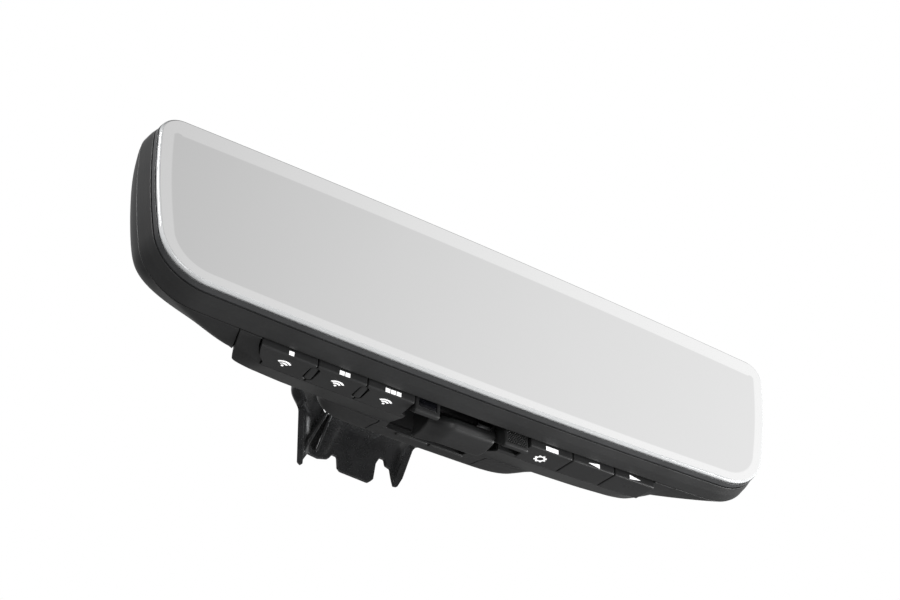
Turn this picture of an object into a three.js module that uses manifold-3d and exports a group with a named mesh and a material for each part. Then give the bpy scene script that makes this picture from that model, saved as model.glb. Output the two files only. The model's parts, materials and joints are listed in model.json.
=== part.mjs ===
// Interior rearview mirror with a display glass, a row of keys under it, a day/night lever,
// and a ball-jointed arm to a bracket on the windshield.
// Units are millimetres. In the head's own axes +X is to the driver's right, +Y runs from the
// driver into the mirror and +Z is up, with zero at the middle of the glass outline.
// The whole model is shifted so that its origin is the middle of the windshield pad.
import * as THREE from 'three';
import { mergeVertices } from 'three/addons/utils/BufferGeometryUtils.js';
import Module from 'manifold-3d';

const wasm = await Module();
wasm.setup();

// ---- driving dimensions -------------------------------------------------------------------
const GAP = 0.3;                       // usual gap between neighbouring pieces
const GLASS = {                        // outline of the glass, made of six tangent arcs a side
  halfWidth: 125, height: 63.2, topRadius: 3630, bottomRadius: 2750,
  sideRadius: 210, sideCentreZ: 39.8, topCorner: 7.1, bottomCorner: 19.5,
};
const FRAME_REAR_Y = 9.78;             // rear edge of the front frame
const FRAME_REAR_OFFSET = 2.64;        // how far that edge stands outside the glass outline
const SHELL_FRONT_Y = 10.15;           // front edge of the rear housing and lower trim
const SHELL_WALL = 2.2;
const UNDERSIDE = { z: -34.3, rise: 0.25, bend: 5500 };
const BACK_Y = 47;                     // deepest point of the housing's dome
const BOSS = { rearY: 50.8, rearHalf: 38.5, frontHalf: 48, topZ: 23, rearZ: -24.2 };
const BALL = { y: 40, z: 4, radius: 8, neck: 3.2, neckLength: 15.2 };
const SEAT = { liner: [8.25, 9.6], ring: [9.95, 11.5], cup: 11.85, mouth: 45 };
const PAD = { y: 99, z: 34, tilt: 13 };  // windshield pad centre and lean
const KEYS_LEFT = [-76.8, -57.2, -39.6, -22.2];
const KEYS_RIGHT = [22.6, 40.1, 57.8, 75.4];
const KEY = { frontY: 10.4, creaseY: 20.6, drop: 2.2, slope: 0.1, wall: 2.0, seam: 0.35 };
const APRON = { rearY: 37.6, slope: 0.46, halfX: 79.2, wall: 2.2 };  // rise behind the keys
const BAY = { left: -20.3, right: 14.6, frontY: 10.4, rearY: 40.2 };
const LEVER_PIN = { y: 25, z: -24, radius: 1.2 };

const rad = THREE.MathUtils.degToRad;

// ---- finishes -----------------------------------------------------------------------------
const finish = (color, roughness, metalness = 0) =>
  new THREE.MeshStandardMaterial({ color, roughness, metalness });
const FINISH = {
  casing: finish(0x3a3a3c, 0.55),
  lip: finish(0x55565a, 0.25),
  gloss: finish(0x26272a, 0.2),
  mirror: finish(0xc9ccd0, 0.04, 1),
  chrome: finish(0xe8eaec, 0.08, 1),
  glass: finish(0xcfd4d6, 0.05),
  lens: finish(0x0c0d10, 0.1),
  steel: finish(0x9a9da1, 0.35, 1),
  aluminium: finish(0xb4b7ba, 0.4, 1),
  board: finish(0x1f5a3a, 0.5),
  white: finish(0xe9e9e6, 0.6),
  nylon: finish(0xd8d4c8, 0.5),
  black: finish(0x17181a, 0.6),
};

// ---- solids -------------------------------------------------------------------------------
/** A closed three.js geometry as a solid that can be joined and cut. */
function solid(geometry) {
  const bare = geometry.clone();
  bare.deleteAttribute('normal');
  bare.deleteAttribute('uv');
  const merged = mergeVertices(bare, 1e-5);
  const vertProperties = new Float32Array(merged.attributes.position.array);
  const triVerts = new Uint32Array(merged.index.array);
  return new wasm.Manifold(new wasm.Mesh({ numProp: 3, vertProperties, triVerts }));
}

/** The triangles of a solid as a three.js geometry. */
function toGeometry(manifold) {
  const data = manifold.getMesh();
  const geometry = new THREE.BufferGeometry();
  geometry.setAttribute('position', new THREE.BufferAttribute(data.vertProperties, 3));
  geometry.setIndex(new THREE.BufferAttribute(data.triVerts, 1));
  return geometry;
}

/** The largest of the separate bodies that a cut has left. */
function largest(manifold) {
  const bodies = manifold.decompose();
  return bodies.reduce((best, body) => (body.volume() > best.volume() ? body : best));
}

const points = (pairs) => pairs.map(([a, b]) => new THREE.Vector2(a, b));

/** Plate: an outline in X and Z, from depth y0 back to y1. */
function plate(outline, y0, y1) {
  const geometry = new THREE.ExtrudeGeometry(new THREE.Shape(points(outline)),
    { depth: y1 - y0, bevelEnabled: false });
  geometry.rotateX(Math.PI / 2);
  geometry.translate(0, y1, 0);
  return solid(geometry);
}

/** Column: an outline in X and Y, from height z0 up to z1. */
function column(outline, z0, z1) {
  const geometry = new THREE.ExtrudeGeometry(new THREE.Shape(points(outline)),
    { depth: z1 - z0, bevelEnabled: false });
  geometry.translate(0, 0, z0);
  return solid(geometry);
}

/** Bar: a side profile in Y and Z, from x0 to x1. */
function bar(profile, x0, x1) {
  const geometry = new THREE.ExtrudeGeometry(new THREE.Shape(points(profile)),
    { depth: x1 - x0, bevelEnabled: false });
  const turn = new THREE.Matrix4().makeBasis(
    new THREE.Vector3(0, 1, 0), new THREE.Vector3(0, 0, 1), new THREE.Vector3(1, 0, 0));
  geometry.applyMatrix4(turn);
  geometry.translate(x0, 0, 0);
  return solid(geometry);
}

/** Box between two corners. */
function box([x0, y0, z0], [x1, y1, z1]) {
  const geometry = new THREE.BoxGeometry(x1 - x0, y1 - y0, z1 - z0);
  geometry.translate((x0 + x1) / 2, (y0 + y1) / 2, (z0 + z1) / 2);
  return solid(geometry);
}

/** Round rod along Y, Z or X through a centre line. */
function rod(axis, radius, from, to, [a, b], sides = 12) {
  const geometry = new THREE.CylinderGeometry(radius, radius, to - from, sides);
  geometry.translate(0, (from + to) / 2, 0);
  if (axis === 'y') {
    geometry.translate(a, 0, b);
  } else if (axis === 'x') {
    geometry.rotateZ(-Math.PI / 2);
    geometry.translate(0, a, b);
  } else {
    geometry.rotateX(Math.PI / 2);
    geometry.translate(a, b, 0);
  }
  return solid(geometry);
}

/** Turned piece about a line along Y: profile pairs are radius and distance along Y. */
function turned(profile, [x, y, z], sides = 20) {
  const geometry = new THREE.LatheGeometry(points(profile), sides);
  geometry.translate(x, y, z);
  return solid(geometry);
}

/** Rounded rectangle about a centre, for plates and pads. */
function roundedRect(halfA, halfB, radius, [a, b] = [0, 0], steps = 3) {
  const corners = [[1, 1, 0], [-1, 1, 90], [-1, -1, 180], [1, -1, 270]];
  return corners.flatMap(([sa, sb, start]) =>
    Array.from({ length: steps + 1 }, (_, i) => {
      const angle = rad(start + (90 * i) / steps);
      return [
        a + sa * (halfA - radius) + radius * Math.cos(angle),
        b + sb * (halfB - radius) + radius * Math.sin(angle),
      ];
    }));
}

// ---- the glass outline ----------------------------------------------------------------------
/** Where two circles cross, taking the crossing to the right that lies furthest up or down. */
function crossing(centreA, radiusA, centreB, radiusB, up) {
  const gap = centreB.clone().sub(centreA);
  const distance = gap.length();
  const along = (radiusA ** 2 - radiusB ** 2 + distance ** 2) / (2 * distance);
  const across = Math.sqrt(radiusA ** 2 - along ** 2);
  const unit = gap.divideScalar(distance);
  const foot = centreA.clone().addScaledVector(unit, along);
  const side = new THREE.Vector2(-unit.y, unit.x);
  const both = [1, -1].map((sign) => foot.clone().addScaledVector(side, sign * across));
  return both.filter((p) => p.x > 0).sort((p, q) => (up ? q.y - p.y : p.y - q.y))[0];
}

/** Corner circle of the outline, touching the long edge's arc and the side's arc from inside. */
function cornerOf(edgeRadius, cornerRadius, up) {
  const half = GLASS.height / 2;
  const edge = new THREE.Vector2(0, up ? half - edgeRadius : edgeRadius - half);
  const side = new THREE.Vector2(GLASS.halfWidth - GLASS.sideRadius, GLASS.sideCentreZ);
  const centre = crossing(edge, edgeRadius - cornerRadius, side,
    GLASS.sideRadius - cornerRadius, up);
  const bearing = (from) => centre.clone().sub(from).angle();
  return { edge, side, centre, toEdge: bearing(edge), toSide: bearing(side) };
}

const TOP = cornerOf(GLASS.topRadius, GLASS.topCorner, true);
const BOTTOM = cornerOf(GLASS.bottomRadius, GLASS.bottomCorner, false);
const signed = (angle) => (angle > Math.PI ? angle - 2 * Math.PI : angle);

/** Points of one arc, without its last point. */
function arc(centre, radius, from, to, steps) {
  return Array.from({ length: steps }, (_, i) => {
    const angle = from + ((to - from) * i) / steps;
    return [centre.x + radius * Math.cos(angle), centre.y + radius * Math.sin(angle)];
  });
}

/** The glass outline moved outwards by offset, as a closed run of points that turns clockwise. */
function outline(offset) {
  const right = [
    ...arc(TOP.edge, GLASS.topRadius + offset, Math.PI / 2, TOP.toEdge, 3),
    ...arc(TOP.centre, GLASS.topCorner + offset, TOP.toEdge, signed(TOP.toSide), 4),
    ...arc(TOP.side, GLASS.sideRadius + offset, signed(TOP.toSide), signed(BOTTOM.toSide), 4),
    ...arc(BOTTOM.centre, GLASS.bottomCorner + offset, signed(BOTTOM.toSide),
      signed(BOTTOM.toEdge), 6),
    ...arc(BOTTOM.edge, GLASS.bottomRadius + offset, signed(BOTTOM.toEdge), -Math.PI / 2, 4),
  ];
  const foot = [0, -GLASS.height / 2 - offset];
  const left = right.slice(1).reverse().map(([x, z]) => [-x, z]);
  return [...right, foot, ...left];
}

/** Triangles between rings of equal length; rings that close on themselves make a torus. */
function skin(rings, closed) {
  const count = rings[0].length;
  const position = rings.flat(2);
  const index = [];
  const last = closed ? rings.length : rings.length - 1;
  for (let k = 0; k < last; k += 1) {
    const next = (k + 1) % rings.length;
    for (let i = 0; i < count; i += 1) {
      const j = (i + 1) % count;
      index.push(k * count + i, k * count + j, next * count + j);
      index.push(k * count + i, next * count + j, next * count + i);
    }
  }
  if (!closed) {
    for (const [k, flip] of [[0, true], [rings.length - 1, false]]) {
      const hub = position.length / 3;
      const ring = rings[k];
      position.push(...[0, 1, 2].map((c) => ring.reduce((sum, p) => sum + p[c], 0) / count));
      for (let i = 0; i < count; i += 1) {
        const a = k * count + i;
        const b = k * count + ((i + 1) % count);
        index.push(...(flip ? [hub, b, a] : [hub, a, b]));
      }
    }
  }
  const geometry = new THREE.BufferGeometry();
  geometry.setAttribute('position', new THREE.Float32BufferAttribute(position, 3));
  geometry.setIndex(index);
  return facingOut(geometry);
}

/** Turn every triangle round if the closed surface encloses a negative volume. */
function facingOut(geometry) {
  const p = geometry.attributes.position;
  const index = geometry.index.array;
  const corner = (n) => new THREE.Vector3().fromBufferAttribute(p, index[n]);
  let volume = 0;
  for (let n = 0; n < index.length; n += 3) {
    volume += corner(n).dot(corner(n + 1).cross(corner(n + 2)));
  }
  if (volume < 0) {
    for (let n = 0; n < index.length; n += 3) {
      [index[n], index[n + 1]] = [index[n + 1], index[n]];
    }
  }
  return geometry;
}

const ringAt = (offset, y) => outline(offset).map(([x, z]) => [x, y, z]);

/** Solid with the glass outline at each of several depths: pairs are offset and depth. */
const stack = (pairs) => solid(skin(pairs.map(([offset, y]) => ringAt(offset, y)), false));

/** Frame round the glass outline: its closed section is pairs of offset and depth. */
const surround = (section) => solid(skin(section.map(([o, y]) => ringAt(o, y)), true));

// ---- the head's outer form ------------------------------------------------------------------
/** Half-width, underside and squareness of the rear housing at one depth. */
function slice(y) {
  const t = y - SHELL_FRONT_Y;
  const round = 17;                    // radius of the rounded ends, seen from above
  const shoulderY = 31.2;
  const sideCentre = 14.2;
  const halfAtFront = GLASS.halfWidth + FRAME_REAR_OFFSET;
  const domeHalf = 107.4;
  const half = y < shoulderY
    ? halfAtFront + 0.53 - round + Math.sqrt(Math.max(round ** 2 - (y - sideCentre) ** 2, 0))
    : domeHalf * Math.sqrt(Math.max((BACK_Y - y) / (BACK_Y - shoulderY), 0));
  const flat = GLASS.height / 2 + FRAME_REAR_OFFSET - UNDERSIDE.rise * t;
  const turnY = 38;
  const turnZ = flat + UNDERSIDE.rise * (y - turnY);
  const height = y < turnY
    ? flat
    : turnZ * Math.sqrt(Math.max(1 - ((y - turnY) / (BACK_Y - turnY)) ** 2.2, 0));
  const power = 2.4 + 5.6 * Math.exp(-t / 11) + 1.2 * Math.max(1 - t / 30, 0);
  return { half, height, power };
}

/** Distance from the middle to a rounded oblong in one direction. */
function reach(angle, { half, height, power }) {
  const across = Math.abs(Math.cos(angle) / half) ** power;
  const upward = Math.abs(Math.sin(angle) / height) ** power;
  return (across + upward) ** (-1 / power);
}

/** Ring of the housing at one depth: the frame's rear outline shrunk by the oblong's ratio. */
function housingRing(y, inset) {
  const front = slice(SHELL_FRONT_Y);
  const here = slice(y + inset);
  const wall = { ...here, half: here.half - inset, height: here.height - inset };
  return outline(FRAME_REAR_OFFSET).map(([x, z]) => {
    const angle = Math.atan2(z, x);
    const ratio = reach(angle, wall) / reach(angle, front);
    return [x * ratio, y, z * ratio];
  });
}

/** Closed domed solid of the housing, smaller all round by inset. */
function dome(inset) {
  const fine = [SHELL_FRONT_Y, 15, 20.5, 25.5, 29, 32, 36, 40, 43.2, 45.8];
  const coarse = [SHELL_FRONT_Y, 20, 27, 32, 38, 43, 45.8];
  const depths = inset > 0 ? coarse : fine;
  const rings = depths
    .map((y, i) => housingRing(i === 0 ? y - (inset > 0 ? 1 : 0) : y - inset, inset));
  return solid(skin(rings, false));
}

/** Raised boss behind the ball socket, smaller all round by inset. */
function boss(inset) {
  const rear = BOSS.rearY - inset;
  const side = bar([
    [30, UNDERSIDE.z + 20 * UNDERSIDE.rise + inset],
    [rear - 0.8, BOSS.rearZ + inset],
    [rear, BOSS.rearZ + 1 + inset],
    [rear, BOSS.topZ - 2 - inset],
    [rear - 2, BOSS.topZ - inset],
    [30, BOSS.topZ + 5 - inset],
  ], -60, 60);
  const round = 5;
  const half = BOSS.rearHalf - inset;
  const plan = column([
    [-BOSS.frontHalf + inset, 30],
    [-BOSS.frontHalf + inset, 34],
    [-half - 1.4, rear - round],
    [-half + 0.9, rear - 1.6],
    [-half + 4.2, rear],
    [half - 4.2, rear],
    [half - 0.9, rear - 1.6],
    [half + 1.4, rear - round],
    [BOSS.frontHalf - inset, 34],
    [BOSS.frontHalf - inset, 30],
  ], -40, 40);
  return side.intersect(plan);
}

const SHELL = dome(0).add(boss(0)).subtract(dome(SHELL_WALL).add(boss(SHELL_WALL)));

/** Plan outline of the lower trim, larger or smaller all round by grow. */
function trimPlan(grow) {
  const right = [
    [21.4 + grow, 48.6 + grow],
    [21.4 + grow, 37 + grow],
    [60, 35.6 + grow],
    [78.5 + grow, 32 + grow],
    [80 + grow, 27.5],
    [84.6 + grow, 9],
  ];
  return [...right, ...right.map(([x, y]) => [-x, y]).reverse()];
}

// ---- the model ------------------------------------------------------------------------------
const mirror = new THREE.Group();
const head = new THREE.Group();
const mount = new THREE.Group();
mirror.add(head, mount);
head.position.set(0, -PAD.y, -PAD.z);
mount.rotation.x = rad(PAD.tilt);

/** Put a solid or geometry into a group as a named mesh. */
function place(group, name, shape, material) {
  const geometry = shape.isBufferGeometry ? shape : toGeometry(shape);
  const mesh = new THREE.Mesh(geometry, material);
  mesh.name = name;
  group.add(mesh);
}

// Glass: a front plate with a rounded edge, a bright ring behind it and a rear plate.
function addGlass() {
  const frontPlate = stack([
    [-0.9, -1.6], [-0.1, -1.3], [0.2, -0.6], [-0.1, 0.0], [-0.1, 0.4],
  ]);
  place(head, 'front_glass', frontPlate, FINISH.mirror);
  place(head, 'perimeter_ring', surround([[-0.7, 0.55], [-0.7, 0.8], [-5.4, 0.8], [-5.4, 0.55]]),
    FINISH.chrome);
  place(head, 'rear_glass', stack([[-0.9, 0.95], [-0.9, 2.3]]), FINISH.glass);
}

// Lip that holds the glass, and the front frame round it.
function addFrames() {
  place(head, 'glass_bezel', surround([
    [0.15, 0.2], [0.4, -0.05], [0.72, 2.0], [0.34, 2.15], [0.3, 4.2], [-2.4, 4.2],
    [-2.4, 2.5], [0.15, 2.5],
  ]), FINISH.lip);
  place(head, 'front_frame', surround([
    [0.62, 2.66], [0.8, 2.66], [1.88, 5.9], [FRAME_REAR_OFFSET, FRAME_REAR_Y],
    [0.9, FRAME_REAR_Y], [0.62, 6.0],
  ]), FINISH.casing);
}

// Display behind the glass: panel, diffuser and the aluminium tray that carries them.
const DISPLAY = { halfX: 108, bottomZ: -23.5, topZ: 26.5 };
const TRAY_BOSSES = [[-88, 15], [88, 15], [-88, -12], [88, -12]];

function addDisplay() {
  const { halfX, bottomZ, topZ } = DISPLAY;
  place(head, 'lcd_panel', box([-halfX, 2.7, bottomZ], [halfX, 4.3, topZ]), FINISH.lens);
  place(head, 'backlight_diffuser', box([-halfX, 4.6, bottomZ], [halfX, 7.2, topZ]),
    FINISH.white);
  let tray = stack([[-1.4, 4.6], [-1.4, 9.5]]);
  tray = tray.subtract(box([-halfX - 0.6, 4, bottomZ - 0.6], [halfX + 0.6, 7.5, topZ + 0.6]));
  for (const at of TRAY_BOSSES) {
    tray = tray.add(rod('y', 3, 9, 12.6, at)).subtract(rod('y', 1.4, 9.8, 13, at));
  }
  place(head, 'display_tray', tray, FINISH.aluminium);
}

// Electronics: main board with a shield can, and four screws into the tray.
const BOARD = { y: 12.9, thick: 1.6, halfX: 96, bottomZ: -21, topZ: 22 };

function addElectronics() {
  const rear = BOARD.y + BOARD.thick;
  let board = box([-BOARD.halfX, BOARD.y, BOARD.bottomZ], [BOARD.halfX, rear, BOARD.topZ]);
  for (const at of TRAY_BOSSES) {
    board = board.subtract(rod('y', 1.5, BOARD.y - 1, rear + 1, at));
  }
  place(head, 'main_board', board, FINISH.board);
  place(head, 'shield_can', plate(roundedRect(24, 14, 1.5, [-52, 2], 2), rear + GAP, rear + 4.3),
    FINISH.steel);
  TRAY_BOSSES.forEach((at, i) => {
    const screw = rod('y', 2.6, rear + GAP, rear + 1.8, at)
      .add(rod('y', 1.05, 10.1, rear + 1, at));
    place(head, `board_screw_${i + 1}`, screw, FINISH.steel);
  });
}

// Rear housing: the shell without the trim's area, the ball opening, vents, connector and lens.
const CONNECTOR = { x: 62, z: 4, halfX: 9, halfZ: 5.5 };
const LENS = { x: -62, z: 6, radius: 4 };
const SOCKET_SCREWS = [[-20, -9], [20, -9], [-20, 17], [20, 17]];

function addRearHousing() {
  const cut = column(trimPlan(0.15), -60, -19);
  const upper = column(trimPlan(3), -19, 60);
  let shell = SHELL.subtract(cut.subtract(upper));
  shell = shell.subtract(turned([
    [0, 44], [12, 44], [12, 48.2], [14.6, 52], [0, 52],
  ], [0, 0, BALL.z]));
  shell = shell.subtract(plate(roundedRect(CONNECTOR.halfX + GAP, CONNECTOR.halfZ + GAP, 1.5,
    [CONNECTOR.x, CONNECTOR.z], 2), 30, 60));
  shell = shell.subtract(rod('y', LENS.radius + GAP, 30, 60, [LENS.x, LENS.z]));
  for (const side of [-1, 1]) {
    for (let i = 0; i < 3; i += 1) {
      const slot = plate(roundedRect(1.2, 8, 1.2, [side * (86 + i * 5), 5], 2), 20, 60);
      shell = shell.subtract(slot);
    }
  }
  for (const at of SOCKET_SCREWS) {
    shell = shell.add(rod('y', 3.4, 32, 49.2, at)).subtract(rod('y', 1.4, 31, 40, at));
  }
  place(head, 'rear_housing', largest(shell), FINISH.casing);
}

/** Sloping apron of the trim, from the keys' rear edges up to the housing's underside. */
function apron() {
  const frontY = KEY.creaseY + KEY.seam;
  const sections = [-1, -0.75, -0.4, 0, 0.4, 0.75, 1].map((part) => {
    const x = part * APRON.halfX;
    const lift = x ** 2 / UNDERSIDE.bend;
    const front = UNDERSIDE.z - KEY.drop + KEY.slope * (frontY - KEY.frontY - 2) + lift;
    const rear = front + APRON.slope * (APRON.rearY - frontY);
    return [
      [x, frontY, front + 4.5], [x, frontY, front + 0.4], [x, frontY + 0.5, front],
      [x, APRON.rearY, rear], [x, APRON.rearY, rear + APRON.wall],
      [x, frontY + 4, front + 4.5],
    ];
  });
  return solid(skin(sections, false));
}

// Lower trim: the underside with openings for the keys, the sensor, the lever and the grille.
const SENSOR = { left: -21.8, right: -12.5, frontY: 11, rearY: 19.4, bottomZ: -38.4 };
const GRILLE = { left: 12.4, right: 22.2, frontY: 11, rearY: 19, bottomZ: -39 };

function addLowerTrim() {
  const plan = column(trimPlan(-0.15), -60, -19);
  let trim = SHELL.intersect(plan).add(apron().intersect(plan));
  const keyCut = (from, to) => box([from - 0.1, 8, -50], [to + 0.1, KEY.creaseY + KEY.seam, -20]);
  trim = trim.subtract(keyCut(KEYS_LEFT[0], KEYS_LEFT[3]));
  trim = trim.subtract(keyCut(KEYS_RIGHT[0], KEYS_RIGHT[3]));
  trim = trim.subtract(box([KEYS_LEFT[3] - 0.1, 8, -50], [KEYS_RIGHT[0] + 0.1, 19.7, -20]));
  trim = trim.subtract(box([BAY.left, 8, -50], [BAY.right, BAY.rearY, -20]));
  for (const [x0, x1] of [[BAY.left - 2, BAY.left], [BAY.right, BAY.right + 2]]) {
    const cheek = bar([
      [20.2, -30.6], [20.2, -20.5], [30, -20.5], [37, -25.4],
    ], x0, x1);
    const eye = rod('x', LEVER_PIN.radius + 0.1, -30, 30, [LEVER_PIN.y, LEVER_PIN.z]);
    trim = trim.add(cheek).subtract(eye);
  }
  place(head, 'lower_trim', largest(trim), FINISH.casing);
}

// Keys: six hinged paddles whose front edges stand below the underside.
function keyProfile(x) {
  const lift = x ** 2 / UNDERSIDE.bend;
  const { frontY, creaseY, drop, slope, wall } = KEY;
  const base = UNDERSIDE.z - drop + lift;
  const crease = base + slope * (creaseY - frontY - 2);
  return [
    [frontY, base + 5],
    [frontY, base + 1.2],
    [frontY + 0.35, base + 0.1],
    [frontY + 1.2, base - 0.1],
    [creaseY - 1, crease - 0.1],
    [creaseY, crease + 0.4],
    [creaseY, crease + wall],
    [frontY + 3, base + 0.2 + wall],
    [frontY + 1.9, base + 5],
  ];
}

const KEY_NAMES = ['home_key_1', 'home_key_2', 'home_key_3', 'menu_key', 'left_key', 'right_key'];
const KEY_SPANS = [KEYS_LEFT, KEYS_RIGHT].flatMap((edges) =>
  edges.slice(1).map((edge, i) => [edges[i], edge]));
const DIVIDER = { half: 1.25, frontY: 12, rearY: 19, play: 0.45 };

/** Plan of a divider rib between two keys of the left group, widened by play. */
function dividerPlan(x, play) {
  const middle = (DIVIDER.frontY + DIVIDER.rearY) / 2;
  const length = (DIVIDER.rearY - DIVIDER.frontY) / 2;
  return roundedRect(DIVIDER.half + play, length + play, DIVIDER.half + play - 0.1, [x, middle]);
}

function addKeys() {
  const dividers = KEYS_LEFT.slice(1, 3);
  KEY_SPANS.forEach(([from, to], i) => {
    const middle = (from + to) / 2;
    const lift = middle ** 2 / UNDERSIDE.bend;
    let key = bar(keyProfile(middle), from + 0.22, to - 0.22);
    for (const x of dividers) {
      key = key.subtract(column(dividerPlan(x, DIVIDER.play), -50, -20));
    }
    const ribTop = SWITCH.tipZ - 0.5 - 0.6;
    const rib = box([middle - 1.2, 14, ribTop - 4.8 + lift], [middle + 1.2, 15.6, ribTop]);
    place(head, KEY_NAMES[i], key.add(rib), FINISH.casing);
  });
  dividers.forEach((x, i) => {
    const foot = UNDERSIDE.z - KEY.drop + 0.5 + x ** 2 / UNDERSIDE.bend;
    const rib = column(dividerPlan(x, 0), foot, SWITCH_BOARD.bottomZ - GAP);
    place(head, `key_divider_${i + 1}`, rib, FINISH.casing);
  });
}

// Switch board over the keys, with one switch for each.
const SWITCH_BOARD = { bottomZ: -26.9, topZ: -25.7, halfX: 77, frontY: 11.6, rearY: 19.5 };
const SWITCH = { half: 2.2, topZ: -27.15, baseZ: -28.4, tipZ: -29.1 };

function addSwitches() {
  const { bottomZ, topZ, halfX, frontY, rearY } = SWITCH_BOARD;
  let board = box([-halfX, frontY, bottomZ], [halfX, rearY, topZ]);
  board = board.subtract(box([BAY.left - 3, 15, -30], [BAY.right + 3, 40, -20]));
  place(head, 'switch_board', board, FINISH.board);
  KEY_SPANS.forEach(([from, to], i) => {
    const middle = (from + to) / 2;
    const y = 14.8;
    const body = box([middle - SWITCH.half, y - SWITCH.half, SWITCH.baseZ],
      [middle + SWITCH.half, y + SWITCH.half, SWITCH.topZ]);
    const plunger = rod('z', 1.1, SWITCH.tipZ, SWITCH.baseZ + 0.2, [middle, y], 12);
    place(head, `key_switch_${i + 1}`, body.add(plunger), FINISH.black);
  });
}

// Light sensor block, its dark window, the microphone grille and its capsule.
function addSensorAndMicrophone() {
  const nose = [
    [SENSOR.frontY, -31], [SENSOR.frontY, -37.6], [SENSOR.frontY + 0.8, SENSOR.bottomZ],
    [16, -35.4], [SENSOR.rearY, -32.2], [SENSOR.rearY, -29.6], [17, -29.6],
    [17, SWITCH_BOARD.bottomZ - GAP], [13, SWITCH_BOARD.bottomZ - GAP], [13, -31],
  ];
  const pocket = box([SENSOR.left + 1.2, 10, -36.6], [SENSOR.right - 1.2, 12.2, -32.2]);
  const block = bar(nose, SENSOR.left, SENSOR.right);
  place(head, 'sensor_block', block.subtract(pocket), FINISH.casing);
  place(head, 'sensor_window', box([SENSOR.left + 1.35, 11.1, -36.45],
    [SENSOR.right - 1.35, 11.9, -32.35]), FINISH.lens);
  const front = [
    [GRILLE.frontY, -31], [GRILLE.frontY, -38.2], [GRILLE.frontY + 0.8, GRILLE.bottomZ],
    [GRILLE.rearY, -33.6], [GRILLE.rearY, -29.6], [17, -29.6],
    [17, SWITCH_BOARD.bottomZ - GAP], [13, SWITCH_BOARD.bottomZ - GAP], [13, -31],
  ];
  let grille = bar(front, GRILLE.left + GAP, GRILLE.right);
  grille = grille.subtract(box([GRILLE.left + 2, 12.2, -36], [GRILLE.right - 2, 16.4, -25]));
  for (let i = 0; i < 4; i += 1) {
    for (let k = 0; k < 3; k += 1) {
      const at = [GRILLE.left + 2.9 + i * 1.4, -35.2 + k * 1.4];
      grille = grille.subtract(rod('y', 0.35, 10, 13, at, 6));
    }
  }
  place(head, 'microphone_grille', grille, FINISH.casing);
  const middle = (GRILLE.left + GRILLE.right) / 2;
  const capsule = rod('y', 2.2, 12.6, 14.6, [middle, -33.2], 16);
  place(head, 'microphone_capsule', capsule, FINISH.steel);
}

// Day/night lever on its pin, with a leaf spring that holds either position.
function addLever() {
  const { y, z, radius } = LEVER_PIN;
  const paddle = bar([
    [15.4, -32.6], [15.2, -34.2], [16.2, -36], [18.6, -37], [22.5, -37.2], [26, -36.6],
    [27.6, -35.6], [27.8, -34.2], [26.6, -32.6], [26.8, -28],
    [24.2, -26], [21.8, -28], [21.4, -30.4],
  ], -11.8, 12.1);
  const hub = rod('x', 3.1, -9, 9, [y, z], 20);
  const web = bar([[23, -30], [23, -24], [27, -24], [27, -30]], -8, 8);
  const eye = rod('x', radius + 0.1, -20, 20, [y, z]);
  place(head, 'dimming_lever', paddle.add(web).add(hub).subtract(eye), FINISH.casing);
  place(head, 'lever_pin', rod('x', radius, BAY.left - 1.8, BAY.right + 1.8, [y, z]),
    FINISH.steel);
  const leaf = bar([
    [17, -21.1], [17, -20.7], [26, -20.1], [34, -20.7], [34, -21.1], [26, -20.5],
  ], -4, 4);
  place(head, 'detent_spring', leaf, FINISH.steel);
}

// Ball socket: liner, retaining ring and the steel cup that is screwed to the housing.
const BALL_CENTRE = [0, BALL.y, BALL.z];

/** Points on a sphere's section, from one polar angle to another, measured from +Y. */
function sphereArc(radius, from, to, steps) {
  return Array.from({ length: steps + 1 }, (_, i) => {
    const angle = rad(from + ((to - from) * i) / steps);
    return [radius * Math.sin(angle), radius * Math.cos(angle)];
  });
}

/** Ring cut from a hollow sphere between two polar angles. */
function sphericalRing(inner, outer, from, to, steps) {
  const profile = [...sphereArc(inner, from, to, steps), ...sphereArc(outer, to, from, steps)];
  return turned([...profile, profile[0]], BALL_CENTRE);
}

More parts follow.
